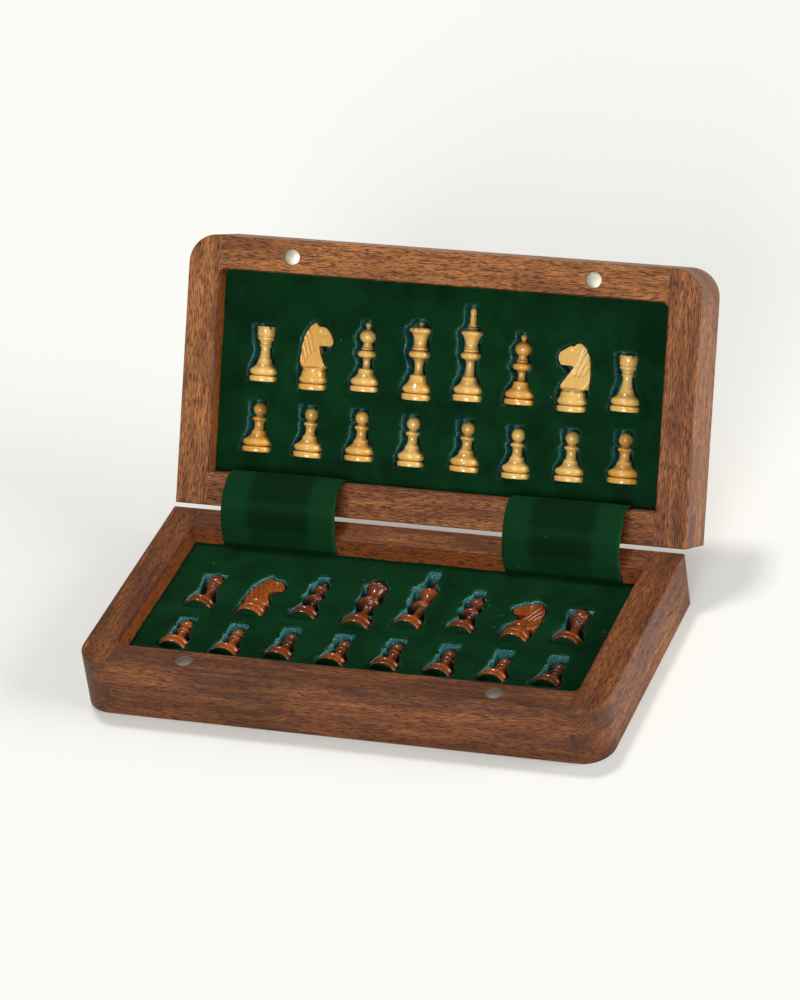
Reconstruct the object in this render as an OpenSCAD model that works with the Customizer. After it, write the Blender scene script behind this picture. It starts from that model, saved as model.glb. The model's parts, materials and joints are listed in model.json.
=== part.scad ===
// Folding travel chess box: two shallow wooden halves on a pair of small butt hinges.
// Each half is a finger jointed frame with a die cut foam tray for sixteen pieces on the
// inside and half of the playing board inlaid in its outer face. Two velvet straps cross
// the hinges. The box stands open, with the lid leaning back, and its origin is the centre
// of the underside of the base. X runs along the hinges, +Y points to the hinge side.

/* [Playing board] */
// Side of one playing square
square_size = 19.67; // [19.3:0.01:24]
// Thickness of the inlaid squares
square_thickness = 1; // [0.6:0.1:1.4]
// Glue line between neighbouring squares
glue_line = 0.04; // [0.02:0.01:0.1]
// Thickness of the steel sheet that holds the magnetic pieces
steel_thickness = 0.4; // [0.3:0.05:0.6]
// Thickness of the panel under the steel sheet
panel_thickness = 2.1; // [1.5:0.1:2.4]

/* [Case] */
// Thickness of the four rails of each half
rail_thickness = 11.33; // [9:0.01:14]
// Wood left between the squares and the fold
fold_lip = 0.85; // [0.6:0.05:2]
// Height of each half
half_height = 20.1; // [19.6:0.1:26]
// Radius of the two outer corners at the free edge
corner_radius = 9.8; // [3:0.1:10.5]
// Radius of the two pocket corners at the free edge
pocket_radius = 2.5; // [1:0.1:4]
// Height of each finger of the corner joints
finger_height = 6.7; // [5:0.1:8]
// Height of the thin finger at the rim
rim_finger = 2; // [1:0.1:3]
// Gap between the two rims when the lid is shut
rim_gap = 0.2; // [0.1:0.05:0.6]
// Radius of the closing magnets
magnet_radius = 2.6; // [2:0.1:3.5]
// Height of the closing magnets
magnet_height = 2; // [1:0.1:3]
// Distance of the closing magnets from the middle
magnet_x = 52.9; // [30:0.1:65]

/* [Lid] */
// Angle of the lid from shut to how it stands
lid_open = 120; // [95:1:150]
// Distance from the back faces to the hinge axis
hinge_setback = 0.65; // [0.4:0.05:1.2]

/* [Hinges] */
// Distance of each hinge from the middle
hinge_x = 49.5; // [30:0.1:60]
// Length of each hinge
hinge_length = 26; // [18:0.5:34]
// Width of each leaf from the hinge axis
leaf_width = 8.4; // [6:0.1:10]
// Thickness of the leaves
leaf_thickness = 0.6; // [0.4:0.05:0.8]
// Outer radius of the knuckles
knuckle_radius = 1.4; // [1.2:0.05:1.8]
// Radius of the hinge pins
pin_radius = 0.5; // [0.4:0.05:0.7]
// Running clearance round the pins
pin_clearance = 0.05; // [0.02:0.01:0.09]
// Length of the hinge screws
screw_length = 5.5; // [4:0.5:8]

/* [Tray] */
// Depth of the velvet below the rim
velvet_depth = 6; // [5:0.1:6.5]
// Thickness of the velvet
velvet_thickness = 0.5; // [0.3:0.1:0.8]
// Distance of the outer seats from the ends of the pocket
seat_margin = 14.455; // [13.5:0.005:16]
// Shift of all pieces along the box
seat_shift = -0.2; // [-1.5:0.1:1.5]
// Distance of the feet of the pawns from the near rail
pawn_margin = 8.37; // [6.8:0.01:9.2]
// Distance between the feet of the two rows
row_gap = 22.5; // [21.6:0.1:23.4]
// How far the middle of each piece lies below the velvet
seat_drop = 2.7; // [1.5:0.1:3]
// Clearance between a foot and the floor of its cavity
floor_gap = 0.5; // [0.3:0.05:0.8]
// Clearance round the feet in the cavities
foot_gap = 0.6; // [0.4:0.05:0.9]
// Clearance round the heads in the cavities
head_gap = 1.3; // [1:0.1:1.8]

/* [Straps] */
// Distance of each strap from the middle
strap_x = 49.6; // [35:0.1:55]
// Width of the straps
strap_width = 40.4; // [20:0.1:44]
// Thickness of the straps
strap_thickness = 0.7; // [0.4:0.1:1]
// How strongly the straps rise from the base
strap_rise = 17; // [14:0.5:20]
// How strongly the straps stand away from the lid
strap_bow = 19; // [16:0.5:24]

/* [Chess pieces] */
// Radius of the feet of the officers
officer_foot = 5.2; // [4.9:0.05:5.3]
// Radius of the feet of the pawns, rooks and bishops
small_foot = 5.15; // [4.9:0.05:5.2]
// Thickness of the felt under each foot
felt_thickness = 0.4; // [0.3:0.05:0.6]
// Radius of the magnet in each foot
slug_radius = 2; // [1.5:0.05:2.4]
// Height of the magnet in each foot
slug_height = 2.2; // [1:0.1:2.4]
// Height of the kings
king_height = 31.2; // [30:0.1:33]
// Height of the queens
queen_height = 26.3; // [25.9:0.1:27.5]
// Height of the bishops
bishop_height = 23.6; // [23:0.1:24.4]
// Height of the knights
knight_height = 23; // [22.7:0.1:23.8]
// Height of the rooks
rook_height = 18.8; // [18.2:0.1:20]
// Height of the pawns
pawn_height = 17; // [16.2:0.1:17.8]

/* [Hidden] */
$fn = 48;

files = 8;
ranks = 4;
case_width = files * square_size + 2 * rail_thickness;
case_depth = ranks * square_size + rail_thickness + fold_lip;
half_width = case_width / 2;
half_depth = case_depth / 2;
pocket_width = case_width - 2 * rail_thickness;
seat_pitch = (pocket_width - 2 * seat_margin) / (files - 1);
pawn_row = rail_thickness + pawn_margin;
officer_row = pawn_row + row_gap;
board_height = square_thickness + steel_thickness + panel_thickness;
axis_y = half_depth + hinge_setback;
axis_z = half_height + rim_gap / 2;
cut = 0.5;
// Hairline between pieces that are glued together and stay separate
seam = 0.02;

wood = "#8a5536";
light_wood = "#d09a4e";
dark_wood = "#8c3a1a";
light_square = "#e0bd84";
dark_square = "#6b3a22";
velvet_green = "#0d3a1c";
foam_teal = "#2a7f78";
felt_green = "#1d5a35";
brass = "#c9a24a";
nickel = "#b9b9b4";
steel = "#8d9296";
plywood = "#c9a878";

// The side of a half that the free edge is on: -1 for the base and 1 for the lid, whose
// own frame is the one it has when the box is folded out flat behind the base
base_free = -1;
lid_free = 1;

officers = ["rook", "knight", "bishop", "queen", "king", "bishop", "knight", "rook"];
officer_names = ["left_rook", "left_knight", "left_bishop", "queen",
    "king", "right_bishop", "right_knight", "right_rook"];

// How each piece happens to lie: head down, and head to the right, in degrees
dark_officer_lean = [2, 0, 1, -2, 3.5, 1, 0, 0];
dark_officer_turn = [1, 0, 0.5, 0, 1.5, 0.5, 0, 0];
dark_pawn_lean = [-1, 2, 2, 4, 0, 3, 6, 6];
dark_pawn_turn = [0, 0, 1, 1, 1, 0, 1, 1];
light_officer_lean = [1, 0, 1, 0, 1, 1, 0, 1];
light_officer_turn = [0, 0, 0, 0.5, 0, 0, 0, 0.5];
light_pawn_lean = [2, 1, 0, 2, 1, 0, 2, 1];
light_pawn_turn = [0, 1, 0, 0, 1, 0, 0, 0];

// How far each hand cut seat is off its row, to the right and towards the head
dark_officer_shift = [[0, 1.2], [0.4, -0.6], [0.2, 0.8], [1.1, -1.6],
    [-0.5, 1.2], [-0.6, 1.7], [0, 0], [-0.8, 1.2]];
dark_pawn_shift = [[0, 0.3], [0, -0.6], [0, 0], [0.2, -0.3],
    [0, 0], [0, 0], [0, 0], [0, 0]];
light_officer_shift = [[0.4, 0], [0, -1.4], [0.1, -0.6], [0.3, -1.9],
    [0, -0.9], [-0.2, -0.6], [-0.3, -1.4], [-0.4, 0]];
light_pawn_shift = [[-0.3, -1.3], [-0.3, -1.6], [-0.2, -1.3], [-0.4, -1.8],
    [0.4, -1.8], [0, -2.5], [0.3, -2], [0.4, -1]];

// Sizes of a turned piece: height, foot radius, height of the foot ring's top, least
// neck radius and its height, collar radius and its height, head radius and its height
function sizes(kind) =
    kind == "king" ? [king_height, officer_foot, 5.2, 1.4, 11.8, 3.45, 15.4, 3.8, 22.9]
    : kind == "queen" ? [queen_height, officer_foot, 5.1, 1.35, 11.2, 3.75, 15.5, 3.9, 23.5]
    : kind == "bishop" ? [bishop_height, small_foot, 4.85, 1.2, 9.6, 3.25, 12.9, 2.85, 18.7]
    : kind == "rook" ? [rook_height, small_foot, 4.85, 1.6, 10.8, 2.9, 14.8, 3.1, 17.2]
    : kind == "knight" ? [knight_height, officer_foot, 4.95, 3.9, 6.6, 3.9, 6.6, 6.4, 16.7]
    : [pawn_height, small_foot, 4.85, 1.6, 9.2, 2.5, 11.4, 2.35, pawn_height - 2.35];

// Half width of the tip of a cavity, and how far the cavity runs past the piece
function tip(kind) =
    kind == "king" ? [2.5, 1.6]
    : kind == "queen" ? [2.7, 1]
    : kind == "bishop" ? [2.2, 0.8]
    : kind == "rook" ? [4.5, 1.1]
    : [3.3, 1.1];

// Outlines of the two carved heads, which face right, from the front of the foot: every
// head is cut by hand, and those of the left and right knights differ
left_head = [
    [4.7, 7.8], [3.6, 10.2], [2.5, 12.8], [1.8, 15], [2.2, 15.5], [5.9, 15.4], [6.6, 16],
    [6.6, 17.6], [5.9, 19.3], [4.9, 20.8], [3.6, 22], [2.2, 22.3], [1.3, 22], [0.3, knight_height],
    [-1.4, 21.9], [-3.1, 19.7], [-4.1, 16.6], [-4.6, 12.6], [-4.7, 9.8], [-4.6, 7.8]
];
right_head = [
    [4.6, 7.8], [2.9, 10.4], [1.3, 12.8], [0, 14.9], [0.4, 15.4], [4.4, 15.4], [4.9, 16.6],
    [5.3, 18.8], [4, 20.3], [2.3, 21.4], [0.6, 22.2], [0, 21.8], [-1.4, knight_height], [-2.6, 22.7],
    [-3.8, 21.6], [-5, 19.2], [-5.8, 15.6], [-6.1, 12.6], [-5.9, 10], [-5.5, 7.8]
];
// Cuts of the mane, each from its end at the back of the neck to its lower end
left_mane = [[[-2.4, 20.6], [0.2, 12.6]], [[-3.6, 18.9], [-1.1, 11.8]],
    [[-4.3, 16.9], [-2.3, 11.2]], [[-4.8, 14.4], [-3.4, 10.8]]];
right_mane = [[[-4, 21.4], [-0.7, 12.4]], [[-5.1, 19.6], [-2.1, 12.2]],
    [[-5.8, 17.2], [-3.4, 12.2]], [[-6.2, 14.8], [-4.6, 11.8]]];
left_eye = [3, 19.8];
right_eye = [0.1, 19.9];
mane_radius = 0.42;
knight_thickness = 5;
knight_top_thickness = 3.2;

// Points of a half round bead on a turned piece, from its lower to its upper edge
function bead(radius, height, thickness) = [
    for (angle = [-90 : 22.5 : 90])
        [radius - thickness / 2 + thickness / 2 * cos(angle), height + thickness / 2 * sin(angle)]
];

// Points of a hollow sweep from one radius and height to another, steep at its end
function sweep(from, to) = [
    for (t = [0.2 : 0.2 : 1])
        [to[0] + (from[0] - to[0]) * (1 - t) * (1 - t), from[1] + (to[1] - from[1]) * t]
];

// Points of the arc of a ball, which may be flattened, from one angle to another
function ball(radius, height, low, high, flat = 1) = [
    for (step = [0 : 8])
        let (angle = low + (high - low) * step / 8)
            [radius * cos(angle), height + flat * radius * sin(angle)]
];

// Foot of every piece: a disc with eased edges, a groove and a ring that runs into a
// hollow bell with a rounded shoulder, whose radius and height are given
ring = 2.4;
ring_inset = 0.1;
function foot(radius, top, shoulder) =
    let (
        middle = top - ring / 2,
        groove = top - ring - 0.2,
        turn = 50,
        start = [radius - ring_inset - ring / 2 * (1 - cos(turn)), middle + ring / 2 * sin(turn)]
    )
    concat(
        [[0, felt_thickness], [radius - 0.25, felt_thickness], [radius, felt_thickness + 0.25],
            [radius, groove - 0.3], [radius - 0.3, groove], [radius - 0.6, groove + 0.05]],
        [for (angle = [-90 : 20 : turn])
            [radius - ring_inset - ring / 2 * (1 - cos(angle)), middle + ring / 2 * sin(angle)]],
        sweep(start, [shoulder[0], shoulder[1] - 0.4]),
        [[shoulder[0] - 0.1, shoulder[1] - 0.1], [shoulder[0] - 0.35, shoulder[1] + 0.1]]
    );

function king_profile() =
    let (s = sizes("king"), crown = s[8], tip = s[0])
    concat(
        foot(s[1], s[2], [2.5, 8.3]),
        [[1.6, 8.6], [1.45, 10]],
        [[s[3], s[4]], [1.6, 13.8], [2.3, 14.1]],
        bead(s[5], s[6], 2.2),
        bead(2.6, 17.1, 1),
        bead(2.35, 17.95, 0.6),
        [[2, 18.6], [2.1, 19.3], [2.45, 20.4], [3, 21.6], [s[7] - 0.15, crown - 0.3], [s[7], crown],
            [s[7] - 0.1, crown + 0.3], [3.3, 23.6], [2.2, 23.8]],
        bead(1.8, 24.4, 0.8),
        bead(1.5, 25.4, 0.8),
        [[1.1, 26.1], [1.1, 28.3], [0.9, 28.5], [0.9, 28.8], [1.1, 29], [1.15, tip - 0.9],
            [0.95, tip - 0.35], [0.55, tip - 0.08], [0, tip]]
    );

function queen_profile() =
    let (s = sizes("queen"))
    concat(
        foot(s[1], s[2], [2.85, 8.5]),
        [[1.6, 8.9], [1.45, 9.6]],
        [[s[3], s[4]], [1.5, 12.6], [1.85, 13.7], [2.5, 14.3]],
        bead(s[5], s[6], 2.2),
        bead(2.7, 17.4, 1.2),
        bead(2.25, 18.4, 0.6),
        [[2.1, 19], [2.2, 20], [2.5, 21.2], [3, 22.2]],
        bead(s[7], s[8], 1.8),
        [[1.8, 24.6], [0.9, 24.8]],
        ball(0.95, s[0] - 0.95, -50, 90)
    );

function bishop_profile() =
    let (s = sizes("bishop"))
    concat(
        foot(s[1], s[2], [2.6, 7.8]),
        [[1.4, 8.1]],
        [[s[3], s[4]], [1.25, 11], [1.8, 11.6]],
        bead(s[5], s[6], 2.3),
        bead(2.1, 14.65, 0.9),
        bead(1.8, 15.5, 0.7),
        [[1.5, 16.1]],
        ball(s[7], s[8], -60, 72, 0.86),
        [[0.75, 21.3]],
        ball(1.1, s[0] - 1.1, -48, 90)
    );

function rook_profile() =
    let (s = sizes("rook"), wall = s[7])
    concat(
        foot(s[1], s[2], [2.35, 7.9]),
        [[1.9, 8.3]],
        [[s[3], s[4]], [1.7, 12]],
        bead(2.1, 12.4, 0.7),
        [[1.95, 12.9], [2.1, 13.6], [2.4, 14.2], [s[5] - 0.1, 14.4], [s[5], s[6]], [s[5] - 0.1, 15.3],
            [s[5] - 0.2, 15.5], [wall - 0.1, 15.6], [wall, 15.8], [wall, s[0] - 0.2],
            [wall - 0.2, s[0]], [0, s[0]]]
    );

function pawn_profile() =
    let (s = sizes("pawn"))
    concat(
        foot(s[1], s[2], [2.5, 7.4]),
        [[1.8, 7.8]],
        [[s[3], s[4]], [1.7, 10.3], [2, 10.65]],
        bead(s[5], s[6], 1.2),
        [[1.5, 12.2]],
        ball(s[7], s[8], -58, 90)
    );

function knight_foot_profile() =
    let (s = sizes("knight"))
    concat(
        foot(s[1], s[2], [s[3] + 0.35, s[4]]),
        [[s[3], s[4] + 0.3], [s[3] + 0.1, 7.4], [s[3] + 0.2, 7.8], [0, 7.8]]
    );

// Right half of the outline of the cavity of a turned piece, from the foot to the tip
function cavity_side(kind) =
    let (
        s = sizes(kind),
        end = tip(kind)
    )
    concat(
        [[s[1] + foot_gap, -foot_gap], [s[1] + foot_gap, s[2] * 0.8],
            [s[3] + head_gap + 0.9, s[4] - 1.2], [s[3] + head_gap + 0.6, s[4]]],
        kind == "rook" ? [[s[5] + head_gap, s[6]]]
        : [[s[5] + head_gap, s[6] - 0.3], [s[5] + head_gap, s[6] + 0.4],
            [s[7] + head_gap - 0.7, (s[6] + s[8]) / 2 - 0.3],
            [s[7] + head_gap, s[8] - 0.6], [s[7] + head_gap, s[8] + 0.6]],
        kind == "pawn" || kind == "rook" ? []
        : [[end[0], s[8] + 2.7]],
        [[end[0], s[0] + end[1]]]
    );

// A closed outline drawn again a given distance further out
function grown(points, distance) =
    let (count = len(points))
    [
        for (i = [0 : count - 1])
            let (
                before = points[(i + count - 1) % count],
                after = points[(i + 1) % count],
                along = after - before
            )
            points[i] + distance * [along[1], -along[0]] / norm(along)
    ];

// Outline of the cavity of a knight, which passes straight over the notch under its jaw
function knight_cavity(outline) =
    let (
        jaw_notch = [3, 4],
        last = len(outline) - 1,
        head = grown([for (i = [0 : last]) if (i < jaw_notch[0] || i > jaw_notch[1]) outline[i]],
            foot_gap + 0.3),
        side = officer_foot + foot_gap,
        foot_top = outline[0][1]
    )
    concat(
        [[-side, -foot_gap], [side, -foot_gap], [side, foot_top]],
        [for (i = [1 : len(head) - 2]) head[i]],
        [[min(-side, outline[last][0] - foot_gap), foot_top - foot_gap]]
    );

function mirrored(side) = concat(side, [for (i = [len(side) - 1 : -1 : 0]) [-side[i][0], side[i][1]]]);

function seat_x(i) = (i - (files - 1) / 2) * seat_pitch + seat_shift;

velvet_top = half_height - velvet_depth;
foam_top = velvet_top - velvet_thickness;
seat_axis_z = velvet_top - seat_drop;
cavity_floor = seat_axis_z - officer_foot - floor_gap;

// Plan of a whole half, with its two rounded corners on the free side
module case_outline(free) {
    translate([-half_width, free > 0 ? -half_depth : -half_depth + corner_radius])
        square([case_width, case_depth - corner_radius]);
    translate([-half_width + corner_radius, free > 0 ? half_depth - corner_radius : -half_depth])
        square([case_width - 2 * corner_radius, corner_radius]);
    for (side = [-1, 1])
        translate([side * (half_width - corner_radius), free * (half_depth - corner_radius)])
            circle(r = corner_radius);
}

// Plan of the pocket inside the four rails
module pocket_outline(free) {
    depth = case_depth - 2 * rail_thickness;
    translate([-pocket_width / 2, free > 0 ? -depth / 2 : -depth / 2 + pocket_radius])
        square([pocket_width, depth - pocket_radius]);
    translate([-pocket_width / 2 + pocket_radius, free > 0 ? depth / 2 - pocket_radius : -depth / 2])
        square([pocket_width - 2 * pocket_radius, pocket_radius]);
    for (side = [-1, 1])
        translate([side * (pocket_width / 2 - pocket_radius), free * (depth / 2 - pocket_radius)])
            circle(r = pocket_radius);
}

// Fingers of the front and back rails at one end, as heights from the underside
function finger_bands() = [
    for (top = [half_height - rim_finger : -2 * finger_height : 0.5])
        [max(0, top - finger_height), top]
];

// Block of a front or back rail between the side rails, with its fingers through them
module cross_rail_blank(side, low) {
    y = side > 0 ? half_depth - rail_thickness : -half_depth;
    translate([-pocket_width / 2, y, low])
        cube([pocket_width, rail_thickness, half_height - low]);
    for (band = finger_bands())
        translate([-half_width, y, band[0]])
            cube([case_width, rail_thickness, band[1] - band[0]]);
}

// Rail along the free edge, with the fillets of the pocket and the magnet recesses
module free_rail(free) {
    color(wood)
        difference() {
            union() {
                intersection() {
                    cross_rail_blank(free, 0);
                    linear_extrude(half_height) case_outline(free);
                }
                translate([0, 0, board_height])
                    linear_extrude(half_height - board_height)
                        pocket_fillets(free);
            }
            for (side = [-1, 1])
                translate([side * magnet_x, free * (half_depth - rail_thickness / 2),
                    half_height - magnet_height])
                    cylinder(r = magnet_radius + 0.05, h = magnet_height + cut);
        }
}

// The two small corner fillers between the pocket's rounded corners and its walls
module pocket_fillets(free) {
    y = free * (half_depth - rail_thickness);
    for (side = [-1, 1])
        difference() {
            translate([side > 0 ? pocket_width / 2 - pocket_radius : -pocket_width / 2,
                free > 0 ? y - pocket_radius : y])
                square(pocket_radius);
            translate([side * (pocket_width / 2 - pocket_radius), y - free * pocket_radius])
                circle(r = pocket_radius);
        }
}

// Rail along the hinges: the board panel runs under it as far as the lip
module hinge_rail(free) {
    inner = half_depth - rail_thickness;
    color(wood)
        difference() {
            cross_rail_blank(-free, 0);
            translate([-pocket_width / 2, free > 0 ? -half_depth + fold_lip : inner - cut, -cut])
                cube([pocket_width, rail_thickness - fold_lip + cut, board_height + cut]);
            for (side = [-1, 1])
                translate([side * hinge_x, -free * axis_y, axis_z])
                    mirror([0, free > 0 ? 1 : 0, 0])
                        hinge_recess();
        }
}

// Rail at one end of a half: what is left of the end by the fingers of the other rails
module end_rail(free, side) {
    color(wood)
        difference() {
            intersection() {
                translate([side > 0 ? half_width - rail_thickness : -half_width, -half_depth, 0])
                    cube([rail_thickness, case_depth, half_height]);
                linear_extrude(half_height) case_outline(free);
            }
            for (end = [-1, 1], band = finger_bands())
                translate([-half_width - cut, end > 0 ? half_depth - rail_thickness : -half_depth - cut,
                    band[0] - (band[0] == 0 ? cut : 0)])
                    cube([case_width + 2 * cut, rail_thickness + cut,
                        band[1] - band[0] + (band[0] == 0 ? cut : 0)]);
        }
}

// Sheet that fills the board recess from the free rail to the lip at the fold
module board_sheet(free, low, thickness) {
    y = free > 0 ? -half_depth + fold_lip : -half_depth + rail_thickness;
    translate([-pocket_width / 2, y, low])
        cube([pocket_width, ranks * square_size, thickness]);
}

module board_panel(free) {
    color(plywood) board_sheet(free, square_thickness + steel_thickness, panel_thickness);
}

module steel_sheet(free) {
    color(steel) board_sheet(free, square_thickness, steel_thickness);
}

// The inlaid squares of one colour: parity 0 is light and parity 1 is dark
module squares(free, parity) {
    y = free > 0 ? -half_depth + fold_lip : -half_depth + rail_thickness;
    color(parity == 0 ? light_square : dark_square)
        for (file = [0 : files - 1], rank = [0 : ranks - 1])
            if ((file + rank) % 2 == parity)
                translate([-pocket_width / 2 + file * square_size + glue_line / 2,
                    y + rank * square_size + glue_line / 2, 0])
                    cube([square_size - glue_line, square_size - glue_line, square_thickness]);
}

// Plan of one cavity, with the foot at the origin and the head towards +Y
module cavity_outline(kind, facing) {
    mirror([facing > 0 ? 0 : 1, 0, 0])
        polygon(kind == "knight" ? knight_cavity(facing > 0 ? left_head : right_head)
            : mirrored(cavity_side(kind)));
}

module all_cavities(free) {
    officer_shift = free > 0 ? light_officer_shift : dark_officer_shift;
    pawn_shift = free > 0 ? light_pawn_shift : dark_pawn_shift;
    for (i = [0 : files - 1]) {
        translate([seat_x(i), officer_row - half_depth] + officer_shift[i])
            cavity_outline(officers[i], i < files / 2 ? 1 : -1);
        translate([seat_x(i), pawn_row - half_depth] + pawn_shift[i])
            cavity_outline("pawn", 1);
    }
}

module foam_tray(free) {
    color(foam_teal)
        difference() {
            translate([0, 0, board_height])
                linear_extrude(foam_top - board_height) pocket_outline(free);
            translate([0, 0, cavity_floor])
                linear_extrude(half_height) all_cavities(free);
        }
}

module velvet(free) {
    color(velvet_green)
        translate([0, 0, foam_top])
            linear_extrude(velvet_thickness)
                difference() {
                    pocket_outline(free);
                    all_cavities(free);
                }
}

module magnets(free) {
    color(nickel)
        for (side = [-1, 1])
            translate([side * magnet_x, free * (half_depth - rail_thickness / 2),
                half_height - magnet_height])
                cylinder(r = magnet_radius, h = magnet_height);
}

// Hinge parts lie in the frame of the hinge axis: X along the pin, with the leaf of the
// base towards -Y, just under the plane of the axis
leaf_top = -0.03;
leaf_bottom = leaf_top - leaf_thickness;
knuckle_length = hinge_length / 3;
screw_radius = leaf_width / 12;
head_radius = 1.86 * screw_radius;
screw_point = 1.5 * screw_radius;
tip_radius = 0.1;
slot_width = 0.4 * screw_radius;
slot_depth = 0.4 * leaf_thickness;
screw_places = [-hinge_length / 3.2, hinge_length / 3.2];
screw_y = -(leaf_width + knuckle_radius) / 2;
knuckle_gap = 0.15;

module hinge_recess() {
    translate([-hinge_length / 2 - 0.1, -leaf_width - 0.1, leaf_bottom])
        cube([hinge_length + 0.2, leaf_width + 2 * knuckle_radius, rail_thickness]);
    translate([-hinge_length / 2 - 0.1, 0, 0])
        rotate([0, 90, 0])
            cylinder(r = knuckle_radius + knuckle_gap, h = hinge_length + 0.2);
    for (x = screw_places)
        translate([x, screw_y, leaf_bottom - screw_length])
            cylinder(r = screw_radius + 0.03, h = screw_length + cut);
}

// One leaf with its own knuckles: the outer two (parity 0) or the middle one (parity 1)
module leaf(parity) {
    inner = knuckle_radius + knuckle_gap;
    color(brass)
        difference() {
            union() {
                translate([-hinge_length / 2, -leaf_width, leaf_bottom])
                    cube([hinge_length, leaf_width - inner, leaf_thickness]);
                for (k = [0 : 2])
                    if (k % 2 == parity)
                        translate([-hinge_length / 2 + k * knuckle_length + 0.05, 0, 0]) {
                            rotate([0, 90, 0])
                                cylinder(r = knuckle_radius, h = knuckle_length - 0.1);
                            translate([0, -inner - cut, leaf_bottom])
                                cube([knuckle_length - 0.1, inner + cut, leaf_thickness]);
                        }
            }
            translate([-hinge_length / 2 - cut, 0, 0])
                rotate([0, 90, 0])
                    cylinder(r = pin_radius + pin_clearance, h = hinge_length + 2 * cut);
            for (x = screw_places)
                translate([x, screw_y, leaf_bottom])
                    cylinder(r1 = screw_radius + 0.03, r2 = head_radius + 0.03, h = leaf_thickness);
        }
}

// A countersunk screw with a slotted head, its head flush with the leaf
module hinge_screw() {
    difference() {
        union() {
            cylinder(r1 = screw_radius, r2 = head_radius, h = leaf_thickness);
            translate([0, 0, screw_point - screw_length])
                cylinder(r = screw_radius, h = screw_length - screw_point);
            translate([0, 0, tip_radius - screw_length])
                cylinder(r1 = tip_radius, r2 = screw_radius, h = screw_point - tip_radius);
        }
        translate([-head_radius, -slot_width / 2, leaf_thickness - slot_depth])
            cube([2 * head_radius, slot_width, cut]);
    }
}

module hinge_screws() {
    color(brass)
        for (x = screw_places)
            translate([x, screw_y, leaf_bottom])
                hinge_screw();
}

module hinge_pin() {
    color(steel)
        translate([-hinge_length / 2, 0, 0])
            rotate([0, 90, 0])
                cylinder(r = pin_radius, h = hinge_length);
}

module at_base_hinges() {
    for (side = [-1, 1])
        translate([side * hinge_x, axis_y, axis_z])
            children();
}

module at_lid_hinges() {
    for (side = [-1, 1])
        translate([side * hinge_x, -axis_y, axis_z])
            mirror([0, 1, 0])
                children();
}

// Puts a half that is drawn in the lid's own frame where the open lid stands
module in_lid() {
    translate([0, axis_y, axis_z])
        rotate([180 - lid_open, 0, 0])
            translate([0, axis_y, -axis_z])
                children();
}

// The straps' middle line, as [y, z]: up from the velvet at the back of the base's tray,
// over the hinges and down to the velvet at the hinge side of the lid's tray
strap_steps = 16;
strap_clearance = 0.15;
lid_out = [-sin(lid_open), -cos(lid_open)];
lid_along = [-cos(lid_open), sin(lid_open)];
strap_inset = strap_thickness / 2 + strap_clearance;
strap_start = [half_depth - rail_thickness - strap_inset, velvet_top + strap_clearance];
strap_end = [axis_y, axis_z]
    + lid_along * (hinge_setback + rail_thickness + strap_inset)
    - lid_out * (velvet_depth + rim_gap / 2 - strap_clearance);
strap_lean = 0.12;

function strap_point(t) =
    pow(1 - t, 3) * strap_start
    + 3 * pow(1 - t, 2) * t * (strap_start + strap_rise * [-strap_lean, 1])
    + 3 * (1 - t) * t * t * (strap_end + strap_bow * (lid_out + strap_lean * lid_along))
    + pow(t, 3) * strap_end;

function strap_side(offset) = [
    for (step = [0 : strap_steps])
        let (
            t = step / strap_steps,
            before = strap_point(max(0, t - 0.02)),
            after = strap_point(min(1, t + 0.02)),
            along = (after - before) / norm(after - before)
        )
        strap_point(t) + offset * [-along[1], along[0]]
];

module strap_pair() {
    left = strap_side(strap_thickness / 2);
    right = strap_side(-strap_thickness / 2);
    profile = concat(left, [for (i = [strap_steps : -1 : 0]) right[i]]);
    color(velvet_green)
        for (side = [-1, 1])
            translate([side * strap_x - strap_width / 2, 0, 0])
                rotate([90, 0, 90])
                    linear_extrude(strap_width)
                        polygon(profile);
}

// Wood of a turned piece, bored from below for its magnet
module turned(profile, wood_colour) {
    color(wood_colour)
        difference() {
            rotate_extrude() polygon(profile);
            slug_bore();
        }
}

module slug_bore() {
    translate([0, 0, felt_thickness - cut])
        cylinder(r = slug_radius + seam, h = slug_height + cut);
}

// Felt disc and magnet in the foot of a piece
module foot_fittings(foot_radius) {
    color(felt_green) cylinder(r = foot_radius - 0.15, h = felt_thickness - seam);
    color(nickel)
        translate([0, 0, felt_thickness])
            cylinder(r = slug_radius, h = slug_height - seam);
}

module king(wood_colour) {
    turned(king_profile(), wood_colour);
    foot_fittings(officer_foot);
}

// Queen with a scalloped crown
module queen(wood_colour) {
    s = sizes("queen");
    color(wood_colour)
        difference() {
            rotate_extrude() polygon(queen_profile());
            slug_bore();
            for (a = [0 : 45 : 315])
                rotate([0, 0, a + 22.5])
                    translate([s[7] + 0.25, 0, s[8] - 0.4])
                        cylinder(r = 0.8, h = 2);
        }
    foot_fittings(officer_foot);
}

module bishop(wood_colour) {
    turned(bishop_profile(), wood_colour);
    foot_fittings(small_foot);
}

// Rook with a hollow top and four notches in its wall
module rook(wood_colour) {
    s = sizes("rook");
    color(wood_colour)
        difference() {
            rotate_extrude() polygon(rook_profile());
            slug_bore();
            translate([0, 0, s[0] - 0.9])
                cylinder(r = s[7] - 0.9, h = 2);
            for (a = [45, 135])
                rotate([0, 0, a])
                    translate([-4, -0.5, s[0] - 0.9])
                        cube([8, 1, 2]);
        }
    foot_fittings(small_foot);
}

module pawn(wood_colour) {
    turned(pawn_profile(), wood_colour);
    foot_fittings(small_foot);
}

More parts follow.
